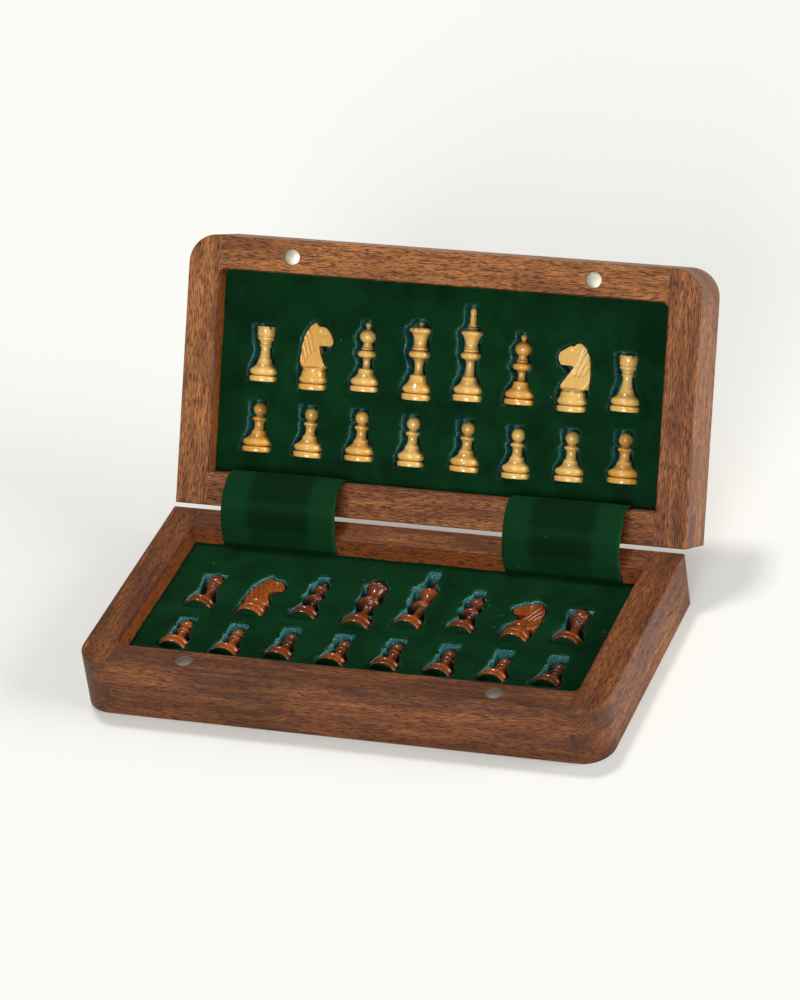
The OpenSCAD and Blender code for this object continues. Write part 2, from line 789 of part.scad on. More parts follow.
// Carved head of a knight: its outline, thinned towards the ears, with mane cuts and eyes
module knight_head(outline, mane, eye) {
    low = outline[0][1];
    thinning = (knight_thickness - knight_top_thickness) / 2;
    difference() {
        rotate([90, 0, 0])
            linear_extrude(knight_thickness, center = true)
                polygon(outline);
        for (side = [-1, 1]) {
            translate([-8, side * knight_thickness / 2, low])
                rotate([side * atan(thinning / (knight_height - low)), 0, 0])
                    translate([0, side > 0 ? 0 : -4, -2])
                        cube([16, 4, 22]);
            for (groove = mane)
                mane_cut(groove[0], groove[1], side);
            translate([eye[0], side * (knight_top_thickness / 2 + 0.35), eye[1]])
                rotate([90, 0, 0])
                    difference() {
                        cylinder(r = 0.95, h = 0.8, center = true);
                        cylinder(r = 0.5, h = 1, center = true);
                    }
        }
    }
}

// A round groove in a side of the head, which is thinner at the groove's upper end
module mane_cut(upper, lower, side) {
    run = upper - lower;
    translate([lower[0], side * (knight_thickness / 2 - 0.35), lower[1]])
        rotate([side * 4, atan2(run[0], run[1]), 0])
            cylinder(r = mane_radius, h = norm(run));
}

module knight(wood_colour, facing) {
    color(wood_colour)
        mirror([facing > 0 ? 0 : 1, 0, 0]) {
            difference() {
                union() {
                    rotate_extrude() polygon(knight_foot_profile());
                    if (facing > 0)
                        knight_head(left_head, left_mane, left_eye);
                    else
                        knight_head(right_head, right_mane, right_eye);
                }
                slug_bore();
            }
        }
    foot_fittings(officer_foot);
}

module officer(i, wood_colour) {
    if (officers[i] == "king")
        king(wood_colour);
    else if (officers[i] == "queen")
        queen(wood_colour);
    else if (officers[i] == "bishop")
        bishop(wood_colour);
    else if (officers[i] == "rook")
        rook(wood_colour);
    else
        knight(wood_colour, i < files / 2 ? 1 : -1);
}

// Lays an upright piece in its cavity, leaning and turned about the middle of its foot
module seated(i, row, shift, lean, turn) {
    translate([seat_x(i) + shift[0], row - half_depth + shift[1], seat_axis_z])
        rotate([0, 0, -turn])
            rotate([-90 - lean, 0, 0])
                children();
}

free_rail(base_free);  // base_front_rail
hinge_rail(base_free);  // base_back_rail
end_rail(base_free, -1);  // base_left_rail
end_rail(base_free, 1);  // base_right_rail
board_panel(base_free);  // base_board_panel
steel_sheet(base_free);  // base_steel_sheet
squares(base_free, 0);  // base_light_squares
squares(base_free, 1);  // base_dark_squares
foam_tray(base_free);  // base_foam_tray
velvet(base_free);  // base_velvet
magnets(base_free);  // base_magnets
in_lid() free_rail(lid_free);  // lid_front_rail
in_lid() hinge_rail(lid_free);  // lid_back_rail
in_lid() end_rail(lid_free, -1);  // lid_left_rail
in_lid() end_rail(lid_free, 1);  // lid_right_rail
in_lid() board_panel(lid_free);  // lid_board_panel
in_lid() steel_sheet(lid_free);  // lid_steel_sheet
in_lid() squares(lid_free, 0);  // lid_light_squares
in_lid() squares(lid_free, 1);  // lid_dark_squares
in_lid() foam_tray(lid_free);  // lid_foam_tray
in_lid() velvet(lid_free);  // lid_velvet
in_lid() magnets(lid_free);  // lid_magnets
at_base_hinges() leaf(0);  // hinge_base_leaves
in_lid() at_lid_hinges() leaf(1);  // hinge_lid_leaves
at_base_hinges() hinge_pin();  // hinge_pins
at_base_hinges() hinge_screws();  // hinge_base_screws
in_lid() at_lid_hinges() hinge_screws();  // hinge_lid_screws
strap_pair();  // straps
for (i = [0 : files - 1]) {
    in_lid()
            seated(i, officer_row, light_officer_shift[i], light_officer_lean[i], light_officer_turn[i])
                officer(i, light_wood);
    seated(i, officer_row, dark_officer_shift[i], dark_officer_lean[i], dark_officer_turn[i])
            officer(i, dark_wood);
    in_lid()
            seated(i, pawn_row, light_pawn_shift[i], light_pawn_lean[i], light_pawn_turn[i])
                pawn(light_wood);
    seated(i, pawn_row, dark_pawn_shift[i], dark_pawn_lean[i], dark_pawn_turn[i])
            pawn(dark_wood);
}
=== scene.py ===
"""Looks of a folding chess box with a hinged lid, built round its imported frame.

Shapes are modelled in millimetres: the case, the trays and the straps in the frame of their own half
of the box, with its rim up, and the chess pieces upright on their feet. Each is laid in its place, in
metres, when its mesh is finished.
"""

import json
import logging
import math
from dataclasses import dataclass
from enum import Enum
from typing import Callable, Iterable, Sequence

import bmesh
import bpy
from mathutils import Matrix, Vector, kdtree, noise

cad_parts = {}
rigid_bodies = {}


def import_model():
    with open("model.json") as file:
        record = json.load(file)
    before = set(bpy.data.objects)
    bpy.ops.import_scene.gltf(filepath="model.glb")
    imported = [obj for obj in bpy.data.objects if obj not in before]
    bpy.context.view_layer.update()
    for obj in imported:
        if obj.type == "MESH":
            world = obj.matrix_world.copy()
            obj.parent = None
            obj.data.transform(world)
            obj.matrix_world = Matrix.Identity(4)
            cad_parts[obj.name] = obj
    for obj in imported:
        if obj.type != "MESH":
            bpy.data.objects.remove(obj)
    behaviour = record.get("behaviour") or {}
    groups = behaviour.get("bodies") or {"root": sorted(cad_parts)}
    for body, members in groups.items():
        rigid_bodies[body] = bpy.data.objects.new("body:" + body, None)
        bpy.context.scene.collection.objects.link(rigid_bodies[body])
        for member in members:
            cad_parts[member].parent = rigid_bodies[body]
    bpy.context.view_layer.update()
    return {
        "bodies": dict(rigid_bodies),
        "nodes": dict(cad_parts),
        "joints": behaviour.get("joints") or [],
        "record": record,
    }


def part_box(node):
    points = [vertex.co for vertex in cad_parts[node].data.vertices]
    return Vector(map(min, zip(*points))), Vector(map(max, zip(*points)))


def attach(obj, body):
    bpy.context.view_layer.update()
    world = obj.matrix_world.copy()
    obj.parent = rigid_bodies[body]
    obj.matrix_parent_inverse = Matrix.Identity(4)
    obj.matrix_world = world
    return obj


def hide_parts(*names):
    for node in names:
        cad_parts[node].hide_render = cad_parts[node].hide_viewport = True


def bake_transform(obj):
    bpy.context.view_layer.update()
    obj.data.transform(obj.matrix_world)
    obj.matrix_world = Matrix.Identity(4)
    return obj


LOG = logging.getLogger("chess_box")
MM = 0.001
Point2 = tuple[float, float]
Colour = tuple[float, float, float, float]


def tint(red: float, green: float, blue: float) -> Colour:
    """A colour as it is seen, from 0 to 255 a channel, as the linear colour that shaders use."""
    return tuple(((c / 255 + 0.055) / 1.055) ** 2.4 for c in (red, green, blue)) + (1.0,)


def between(low: float, high: float, steps: int) -> list[float]:
    """Evenly spaced numbers from low to high, both included."""
    return [low + (high - low) * i / steps for i in range(steps + 1)]


class Half(Enum):
    """The two halves of the box."""

    BASE = "base"
    LID = "lid"

    @property
    def free(self) -> int:
        """The side of y that the free edge is on: the lid's own frame is folded flat behind the base."""
        return -1 if self is Half.BASE else 1


class Kind(Enum):
    """The six kinds of chess piece."""

    KING = "king"
    QUEEN = "queen"
    BISHOP = "bishop"
    KNIGHT = "knight"
    ROOK = "rook"
    PAWN = "pawn"


class Cut(Enum):
    """What a tool shape does to the shape that it is applied to."""

    TAKE = "DIFFERENCE"
    KEEP = "INTERSECT"


# Shader building


class Graph:
    """Adds nodes to one shader tree and links them."""

    def __init__(self, tree: bpy.types.NodeTree) -> None:
        """Keeps the tree that the nodes go into."""
        self.tree = tree

    def node(self, kind: str, inputs: dict | None = None, **settings) -> bpy.types.Node:
        """Adds a node.

        Args:
            kind: The node's type, without the words ShaderNode.
            inputs: Values or sockets for its inputs, by name or place.
            **settings: The node's own properties.

        Returns:
            The new node.
        """
        made = self.tree.nodes.new("ShaderNode" + kind)
        for key, value in settings.items():
            setattr(made, key, value)
        for key, value in (inputs or {}).items():
            if isinstance(value, bpy.types.NodeSocket):
                self.tree.links.new(value, made.inputs[key])
            else:
                made.inputs[key].default_value = value
        return made

    def math(self, operation: str, first, second=0.0) -> bpy.types.NodeSocket:
        """The result of a Math node."""
        return self.node("Math", {0: first, 1: second}, operation=operation).outputs[0]

    def scaled(self, place, size: Sequence[float]) -> bpy.types.NodeSocket:
        """A place measured in units of the given size along each axis."""
        return self.node("VectorMath", {0: place, 1: tuple(size)}, operation="DIVIDE").outputs[0]

    def noise(self, place, detail=2.0, rough=0.5, warp=0.0, scale=1.0) -> bpy.types.NodeSocket:
        """The value of a Noise texture."""
        made = self.node("TexNoise", {"Vector": place, "Scale": scale, "Detail": detail,
                                      "Roughness": rough, "Distortion": warp})
        return made.outputs["Fac"]

    def band(self, value, low: float, high: float, top: float = 1.0) -> bpy.types.NodeSocket:
        """A value's smooth rise from 0 at low to top at high."""
        made = self.node("MapRange", {"Value": value, "From Min": low, "From Max": high, "To Max": top},
                         interpolation_type="SMOOTHSTEP")
        return made.outputs["Result"]

    def blend(self, share, first, second, mode: str = "MIX") -> bpy.types.NodeSocket:
        """Two colours mixed by a share from 0 to 1."""
        made = self.node("Mix", {0: share, 6: first, 7: second}, data_type="RGBA", blend_type=mode)
        return made.outputs[2]

    def ramp(self, value, stops: Sequence[tuple[float, Colour]]) -> bpy.types.NodeSocket:
        """A colour looked up along a row of stops."""
        made = self.node("ValToRGB", {"Fac": value})
        ramp = made.color_ramp
        while len(ramp.elements) < len(stops):
            ramp.elements.new(0.5)
        for element, (place, colour) in zip(ramp.elements, stops):
            element.position, element.color = place, colour
        return made.outputs["Color"]

    def attribute(self, name: str, output: str = "Fac") -> bpy.types.NodeSocket:
        """A value that is stored on the mesh."""
        return self.node("Attribute", attribute_name=name).outputs[output]

    def bump(self, height, depth_mm: float, strength: float = 1.0) -> bpy.types.NodeSocket:
        """The normal of a surface with the given relief, whose full height is in millimetres."""
        made = self.node("Bump", {"Height": height, "Distance": depth_mm * MM, "Strength": strength})
        return made.outputs["Normal"]

    def group(self, tree: bpy.types.NodeTree, inputs: dict) -> bpy.types.Node:
        """Places a node group with its own values."""
        made = self.node("Group", node_tree=tree)
        for key, value in inputs.items():
            if isinstance(value, bpy.types.NodeSocket):
                self.tree.links.new(value, made.inputs[key])
            else:
                made.inputs[key].default_value = value
        return made


def new_group(name: str, inputs: dict[str, str],
              outputs: Sequence[str]) -> tuple[Graph, dict, bpy.types.Node]:
    """Starts a shader node group.

    Args:
        name: The group's name.
        inputs: The kind of socket, Vector or Float, for each input.
        outputs: The names of its outputs, which are all plain values.

    Returns:
        The group's graph, its inputs by name, and the node that its outputs go to.
    """
    tree = bpy.data.node_groups.new(name, "ShaderNodeTree")
    for key, kind in inputs.items():
        tree.interface.new_socket(key, in_out="INPUT", socket_type="NodeSocket" + kind)
    for key in outputs:
        tree.interface.new_socket(key, in_out="OUTPUT", socket_type="NodeSocketFloat")
    source = tree.nodes.new("NodeGroupInput")
    return Graph(tree), {key: source.outputs[key] for key in inputs}, tree.nodes.new("NodeGroupOutput")


def figure_group() -> bpy.types.NodeTree:
    """Makes the group that draws a plank's figure: colour streaks, dark pores and fine fibres.

    Returns:
        A group that takes a place in the plank, with the grain along its X, and the sizes of the
        streaks and pores in metres.
    """
    sizes = ("Streak length", "Streak width", "Pore length", "Pore width")
    graph, source, result = new_group("Plank figure", {"Place": "Vector"} | {s: "Float" for s in sizes},
                                      ("Streaks", "Pores", "Fibres"))

    def stretched(length: str, width: str) -> bpy.types.NodeSocket:
        """The place in units of a length along the grain and a width across it."""
        size = graph.node("CombineXYZ", {0: source[length], 1: source[width], 2: source[width]})
        made = graph.node("VectorMath", {0: source["Place"], 1: size.outputs[0]}, operation="DIVIDE")
        return made.outputs[0]

    wander = graph.node("TexNoise", {"Vector": source["Place"], "Scale": 45.0, "Detail": 2.0})
    drift = graph.node("VectorMath", {0: wander.outputs["Color"], 1: (0.0, 0.0015, 0.0015)},
                       operation="MULTIPLY")
    bent = graph.node("VectorMath", {0: source["Place"], 1: drift.outputs[0]}, operation="ADD")
    streaks = graph.noise(stretched("Streak length", "Streak width"), 5.0, 0.62, 0.4)
    size = graph.node("CombineXYZ", {0: source["Pore length"], 1: source["Pore width"],
                                     2: source["Pore width"]})
    pore_place = graph.node("VectorMath", {0: bent.outputs[0], 1: size.outputs[0]}, operation="DIVIDE")
    pores = graph.noise(pore_place.outputs[0], 2.5, 0.55, 0.15)
    fine = graph.node("VectorMath", {0: pore_place.outputs[0], 1: (1.6, 3.1, 3.1)}, operation="MULTIPLY")
    fibres = graph.noise(fine.outputs[0], 2.0, 0.6)
    for key, value in (("Streaks", streaks), ("Pores", pores), ("Fibres", fibres)):
        graph.tree.links.new(value, result.inputs[key])
    return graph.tree


def pile_group() -> bpy.types.NodeTree:
    """Makes the group for a napped or cut surface: soft clouds, fine tufts and stray bits of lint.

    Returns:
        A group that takes a place and the sizes of the clouds and tufts in metres.
    """
    graph, source, result = new_group(
        "Nap", {"Place": "Vector", "Cloud size": "Float", "Tuft size": "Float"},
        ("Clouds", "Tufts", "Lint"))

    def at_size(key: str) -> bpy.types.NodeSocket:
        """The place in units of one of the sizes."""
        size = graph.node("CombineXYZ", {i: source[key] for i in range(3)})
        made = graph.node("VectorMath", {0: source["Place"], 1: size.outputs[0]}, operation="DIVIDE")
        return made.outputs[0]

    clouds = graph.noise(at_size("Cloud size"), 3.0, 0.55, 0.6)
    tufts = graph.noise(at_size("Tuft size"), 3.0, 0.65)
    spots = graph.node("TexVoronoi", {"Vector": source["Place"], "Scale": 110.0, "Randomness": 1.0})
    lint = graph.band(spots.outputs["Distance"], 0.045, 0.02)
    for key, value in (("Clouds", clouds), ("Tufts", tufts), ("Lint", lint)):
        graph.tree.links.new(value, result.inputs[key])
    return graph.tree


class Finishes:
    """The shared groups and the materials that use them, each built once."""

    def __init__(self) -> None:
        """Builds the two shared groups."""
        self.figure = figure_group()
        self.pile = pile_group()

    @staticmethod
    def start(name: str) -> tuple[Graph, bpy.types.Node]:
        """Starts a material.

        Args:
            name: The material's name.

        Returns:
            Its graph and its Principled shader.
        """
        material = bpy.data.materials.new(name)
        material.use_nodes = True
        shader = material.node_tree.nodes["Principled BSDF"]
        return Graph(material.node_tree), shader

    @staticmethod
    def wire(graph: Graph, shader: bpy.types.Node, inputs: dict) -> bpy.types.Material:
        """Feeds the shader and returns its material.

        Args:
            graph: The material's graph.
            shader: Its Principled shader.
            inputs: Values or sockets by the shader's input names.

        Returns:
            The finished material.
        """
        for key, value in inputs.items():
            if isinstance(value, bpy.types.NodeSocket):
                graph.tree.links.new(value, shader.inputs[key])
            else:
                shader.inputs[key].default_value = value
        return next(m for m in bpy.data.materials if m.node_tree == graph.tree)


@dataclass(frozen=True)
class OpenGrainWood:
    """Oiled open pored hardwood of the rails."""

    name: str
    light: Colour
    middle: Colour
    dark: Colour
    pore: Colour
    # Dark colour of a painted shade line along the rim's inner edge.
    rim_shade: Colour
    inner: Colour
    # Pale colour of the outer eased edges: a painted highlight, with some rubbed wear.
    wear_and_highlight: Colour
    dust: Colour

    def build(self, finishes: Finishes) -> bpy.types.Material:
        """Builds the material.

        Args:
            finishes: The shared groups.

        Returns:
            The material, which reads the plank and tone attributes, those of the painted rim shade and the
            painted edge highlight with wear, and the dust, inner and endgrain attributes.
        """
        graph, shader = finishes.start(self.name)
        place = graph.attribute("plank", "Vector")
        figure = graph.group(finishes.figure, {"Place": place, "Streak length": 0.02, "Streak width": 0.0021,
                                               "Pore length": 0.0028, "Pore width": 0.00025})
        broad = graph.noise(graph.scaled(place, (0.07, 0.012, 0.012)), 2.0, 0.5, 0.8)
        tone = graph.math("ADD", graph.math("MULTIPLY", figure.outputs["Streaks"], 0.6),
                          graph.math("MULTIPLY", broad, 0.4))
        # The tone attribute carries painted light on the lid's rails and painted shade on the base's.
        tone = graph.math("ADD", tone, graph.attribute("tone"))
        colour = graph.ramp(tone, [(0.28, self.dark), (0.45, self.middle), (0.62, self.light)])
        fibre = graph.band(figure.outputs["Fibres"], 0.35, 0.7, 0.5)
        colour = graph.blend(fibre, colour, self.dark)
        pores = graph.band(figure.outputs["Pores"], 0.46, 0.6)
        colour = graph.blend(graph.math("MULTIPLY", pores, 0.85), colour, self.pore)
        end = graph.math("MULTIPLY", graph.attribute("endgrain"), 0.45)
        colour = graph.blend(end, colour, self.pore)
        patch = graph.noise(graph.scaled(place, (0.004, 0.002, 0.002)), 3.0, 0.6)
        between_pores = graph.band(figure.outputs["Pores"], 0.6, 0.4)
        inside = graph.math("MULTIPLY", graph.attribute("inner"), between_pores)
        colour = graph.blend(graph.math("MULTIPLY", inside, 0.75), colour, self.inner)
        # Painted shade along the rim's inner round-over, where the wall drops into the pocket.
        rim_shade = graph.math("MULTIPLY", graph.attribute("rim_shade"), graph.band(patch, 0.25, 0.5, 0.85))
        colour = graph.blend(rim_shade, colour, self.rim_shade)
        # Painted highlight with some wear on the outer eased edges.
        wear_and_highlight = graph.math("MULTIPLY", graph.attribute("wear_and_highlight"), graph.band(patch, 0.48, 0.66, 0.5))
        colour = graph.blend(wear_and_highlight, colour, self.wear_and_highlight)
        dust = graph.math("MULTIPLY", graph.attribute("dust"), graph.band(patch, 0.4, 0.6, 0.65))
        colour = graph.blend(dust, colour, self.dust)
        relief = graph.math("SUBTRACT", graph.math("MULTIPLY", figure.outputs["Fibres"], 0.35), pores)
        gloss = graph.math("ADD", graph.math("MULTIPLY", pores, 0.2), 0.4)
        return finishes.wire(graph, shader, {"Base Color": colour, "Roughness": gloss,
                                             "Normal": graph.bump(relief, 0.05, 0.7),
                                             "Specular IOR Level": 0.32})


@dataclass(frozen=True)
class LacqueredWood:
    """Stained and lacquered close grained wood of the turned pieces."""

    name: str
    pale: Colour
    deep: Colour
    # Colour of the grooves and necks: stain with painted shade.
    groove: Colour
    vein: Colour
    # Colour of the painted shade on the upper part of a piece and on knobs, which lie deeper in the cavity.
    head_shade: Colour
    vein_share: float
    coat: float

    def build(self, finishes: Finishes) -> bpy.types.Material:
        """Builds the material.

        Args:
            finishes: The shared groups.

        Returns:
            The material, which reads the plank, shade, head and groove attributes.
        """
        graph, shader = finishes.start(self.name)
        place = graph.attribute("plank", "Vector")
        figure = graph.group(finishes.figure, {"Place": place, "Streak length": 0.012, "Streak width": 0.0016,
                                               "Pore length": 0.0016, "Pore width": 0.0002})
        shade = graph.math("ADD", graph.attribute("shade"),
                           graph.math("MULTIPLY", figure.outputs["Streaks"], 0.7))
        colour = graph.ramp(graph.math("SUBTRACT", shade, 0.35), [(0.15, self.pale), (0.85, self.deep)])
        veins = graph.band(figure.outputs["Pores"], 0.52, 0.62, self.vein_share)
        colour = graph.blend(veins, colour, self.vein)
        # Painted shade in patches over the upper part of the piece, and over the knobs of bishops and queens.
        head_shade_patch = graph.noise(graph.scaled(place, (0.009, 0.006, 0.006)), 2.0, 0.5)
        head_shade_patch = graph.math("MULTIPLY", graph.band(head_shade_patch, 0.42, 0.66), graph.attribute("head"))
        colour = graph.blend(graph.math("MULTIPLY", head_shade_patch, 0.6), colour, self.head_shade)
        # Grooves and necks darkened: stain with painted shade in the recesses.
        colour = graph.blend(graph.math("MULTIPLY", graph.attribute("groove"), 0.8), colour, self.groove)
        waves = graph.noise(graph.scaled(place, (0.0016, 0.0016, 0.0016)), 2.0, 0.5)
        rough = graph.math("ADD", graph.band(waves, 0.3, 0.7, 0.15), 0.22)
        return finishes.wire(graph, shader, {
            "Base Color": colour, "Roughness": rough, "Normal": graph.bump(waves, 0.03, 0.5),
            "Coat Weight": self.coat, "Coat Roughness": 0.06, "Specular IOR Level": 0.3})


@dataclass(frozen=True)
class InlayWood:
    """Satin veneer of one colour of playing squares, each with its own tone and figure."""

    name: str
    pale: Colour
    deep: Colour
    square: float
    tilt: float
    corner: tuple[float, float, float]

    def build(self, finishes: Finishes) -> bpy.types.Material:
        """Builds the material.

        Args:
            finishes: The shared groups.

        Returns:
            The material, which reads Object coordinates turned into the plane of the board.
        """
        graph, shader = finishes.start(self.name)
        place = graph.node("TexCoord").outputs["Object"]
        flat = graph.node("Mapping", {"Vector": place, "Location": self.corner,
                                      "Rotation": (self.tilt, 0.0, 0.0)}, vector_type="TEXTURE")
        cell = graph.node("VectorMath", {0: flat.outputs[0], 1: (self.square, self.square, 1.0)},
                          operation="DIVIDE")
        cell = graph.node("VectorMath", {0: cell.outputs[0]}, operation="FLOOR")
        lot = graph.node("TexWhiteNoise", {"Vector": cell.outputs[0]}, noise_dimensions="3D")
        moved = graph.node("VectorMath", {0: flat.outputs[0], 1: lot.outputs["Color"]}, operation="ADD")
        figure = graph.group(finishes.figure, {"Place": moved.outputs[0], "Streak length": 0.03,
                                               "Streak width": 0.0022, "Pore length": 0.0022,
                                               "Pore width": 0.00025})
        tone = graph.math("ADD", graph.math("MULTIPLY", figure.outputs["Streaks"], 0.8),
                          graph.math("MULTIPLY", lot.outputs["Value"], 0.25))
        colour = graph.ramp(tone, [(0.3, self.deep), (0.75, self.pale)])
        veins = graph.band(figure.outputs["Pores"], 0.55, 0.68, 0.35)
        colour = graph.blend(veins, colour, self.deep)
        return finishes.wire(graph, shader, {"Base Color": colour, "Roughness": 0.38,
                                             "Normal": graph.bump(figure.outputs["Fibres"], 0.02, 0.5)})


@dataclass(frozen=True)
class Pile:
    """Velvet: a dark pile that turns brighter where it is pressed, cut or worn."""

    name: str
    ground: Colour
    lifted: Colour
    pressed: Colour
    wear_and_highlight: Colour
    lint: Colour
    sheen: Colour

    def build(self, finishes: Finishes) -> bpy.types.Material:
        """Builds the material.

        Args:
            finishes: The shared groups.

        Returns:
            The material, which reads the worn and pressed attributes.
        """
        graph, shader = finishes.start(self.name)
        place = graph.node("TexCoord").outputs["Object"]
        nap = graph.group(finishes.pile, {"Place": place, "Cloud size": 0.013, "Tuft size": 0.0003})
        share = graph.math("ADD", graph.math("MULTIPLY", nap.outputs["Clouds"], 0.45),
                           graph.math("MULTIPLY", nap.outputs["Tufts"], 0.55))
        colour = graph.ramp(share, [(0.36, self.ground), (0.64, self.lifted)])
        colour = graph.blend(graph.attribute("pressed"), colour, self.pressed)
        ragged = graph.band(nap.outputs["Tufts"], 0.46, 0.62, 0.8)
        wear_and_highlight = graph.math("MULTIPLY", graph.attribute("wear_and_highlight"), ragged)
        colour = graph.blend(wear_and_highlight, colour, self.wear_and_highlight)
        colour = graph.blend(graph.math("MULTIPLY", nap.outputs["Lint"], 0.35), colour, self.lint)
        return finishes.wire(graph, shader, {
            "Base Color": colour, "Roughness": 0.95, "Specular IOR Level": 0.04,
            "Normal": graph.bump(nap.outputs["Tufts"], 0.1, 0.6),
            "Sheen Weight": 0.12, "Sheen Roughness": 0.4, "Sheen Tint": self.sheen})


@dataclass(frozen=True)
class CutFoam:
    """Torn open cells of the tray under the velvet, or a felt disc."""

    name: str
    ground: Colour
    cell: Colour
    cell_size: float
    cover: float

    def build(self, finishes: Finishes) -> bpy.types.Material:
        """Builds the material.

        Args:
            finishes: The shared groups.

        Returns:
            The material.
        """
        graph, shader = finishes.start(self.name)
        place = graph.node("TexCoord").outputs["Object"]
        nap = graph.group(finishes.pile, {"Place": place, "Cloud size": 0.004, "Tuft size": self.cell_size})
        bright = graph.band(nap.outputs["Tufts"], 0.62 - self.cover, 0.74 - self.cover * 0.6)
        colour = graph.blend(bright, self.ground, self.cell)
        colour = graph.blend(graph.band(nap.outputs["Clouds"], 0.4, 0.7, 0.5), colour, self.ground)
        uneven = graph.bump(nap.outputs["Tufts"], 0.3)
        return finishes.wire(graph, shader, {"Base Color": colour, "Roughness": 0.8,
                                             "Specular IOR Level": 0.1, "Normal": uneven})


@dataclass(frozen=True)
class Metal:
    """Brushed, slightly dulled metal."""

    name: str
    colour: Colour
    dull: Colour
    rough: float

    def build(self, finishes: Finishes) -> bpy.types.Material:
        """Builds the material.

        Args:
            finishes: The shared groups.

        Returns:
            The material.
        """
        graph, shader = finishes.start(self.name)
        place = graph.node("TexCoord").outputs["Object"]
        nap = graph.group(finishes.pile, {"Place": place, "Cloud size": 0.003, "Tuft size": 0.0004})
        colour = graph.blend(graph.band(nap.outputs["Clouds"], 0.35, 0.75), self.colour, self.dull)
        rough = graph.math("ADD", graph.math("MULTIPLY", nap.outputs["Tufts"], 0.2), self.rough)
        return finishes.wire(graph, shader, {"Base Color": colour, "Metallic": 1.0, "Roughness": rough,
                                             "Normal": graph.bump(nap.outputs["Tufts"], 0.01, 0.5)})


# Mesh building, in millimetres


def stack(levels: Sequence[Sequence[Sequence[float]]]) -> bmesh.types.BMesh:
    """Makes a closed shape from outlines with as many points each, one after the other.

    Args:
        levels: The outlines, from one end of the shape to the other.

    Returns:
        The shape, with its faces outwards.
    """
    shape = bmesh.new()
    face = shape.faces.new([shape.verts.new(p) for p in levels[0]])
    for number, level in enumerate(levels[1:]):
        made = bmesh.ops.extrude_face_region(shape, geom=[face])
        if number:
            bmesh.ops.delete(shape, geom=[face], context="FACES_ONLY")
        face = next(g for g in made["geom"] if isinstance(g, bmesh.types.BMFace))
        for corner, point in zip(face.verts, level):
            corner.co = point
    bmesh.ops.recalc_face_normals(shape, faces=shape.faces)
    return shape


def block(low: Sequence[float], high: Sequence[float]) -> bmesh.types.BMesh:
    """A box between two corners."""
    shape = bmesh.new()
    bmesh.ops.create_cube(shape, size=1.0)
    size = [b - a for a, b in zip(low, high)]
    bmesh.ops.scale(shape, vec=size, verts=shape.verts)
    bmesh.ops.translate(shape, vec=[(a + b) / 2 for a, b in zip(low, high)], verts=shape.verts)
    return shape


def rod(radius: float, length: float, place: Matrix, sides: int = 40) -> bmesh.types.BMesh:
    """A cylinder about the Z axis of the given place, half its length on either side of it."""
    shape = bmesh.new()
    bmesh.ops.create_cone(shape, cap_ends=True, segments=sides, radius1=radius, radius2=radius,
                          depth=length, matrix=place)
    return shape


def lathe(profile: Sequence[Point2], steps: int = 56) -> bmesh.types.BMesh:
    """Turns a profile of radius and height, which starts and ends on the axis, about Z.

    Args:
        profile: The points, from the bottom up.
        steps: How many faces go round.

    Returns:
        The closed shape, with its faces outwards.
    """
    shape = bmesh.new()
    corners = [shape.verts.new((r, 0.0, h)) for r, h in profile]
    edges = [shape.edges.new(pair) for pair in zip(corners, corners[1:])]
    bmesh.ops.spin(shape, geom=corners + edges, cent=(0, 0, 0), axis=(0, 0, 1), dvec=(0, 0, 0),
                   angle=math.tau, steps=steps, use_merge=True, use_duplicate=False)
    bmesh.ops.remove_doubles(shape, verts=shape.verts, dist=1e-4)
    bmesh.ops.recalc_face_normals(shape, faces=shape.faces)
    return shape


def as_object(name: str, shape: bmesh.types.BMesh) -> bpy.types.Object:
    """Puts a shape into a new object of the scene."""
    mesh = bpy.data.meshes.new(name)
    shape.to_mesh(mesh)
    shape.free()
    made = bpy.data.objects.new(name, mesh)
    bpy.context.scene.collection.objects.link(made)
    return made


def work(target: bpy.types.Object, tool: bmesh.types.BMesh, cut: Cut) -> None:
    """Takes a tool shape from a piece, or keeps only what the two share.

    Args:
        target: The piece, whose mesh is changed.
        tool: The shape to work it with, which is used up.
        cut: What the tool does.
    """
    helper = as_object("tool", tool)
    step = target.modifiers.new("cut", "BOOLEAN")
    step.operation, step.solver, step.object = cut.value, "EXACT", helper
    evaluated = target.evaluated_get(bpy.context.evaluated_depsgraph_get())
    mesh = bpy.data.meshes.new_from_object(evaluated)
    target.modifiers.clear()
    old, target.data = target.data, mesh
    for spent in (old, helper.data):
        bpy.data.meshes.remove(spent)


def store(mesh: bpy.types.Mesh, name: str, kind: str, domain: str, values: Iterable[float]) -> None:
    """Stores an attribute on a mesh.

    Args:
        mesh: The mesh.
        name: The attribute's name, which its material reads.
        kind: FLOAT or FLOAT_VECTOR.
        domain: POINT or FACE.
        values: The numbers, vertex by vertex or face by face.
    """
    key = "vector" if kind == "FLOAT_VECTOR" else "value"
    mesh.attributes.new(name, kind, domain).data.foreach_set(key, list(values))


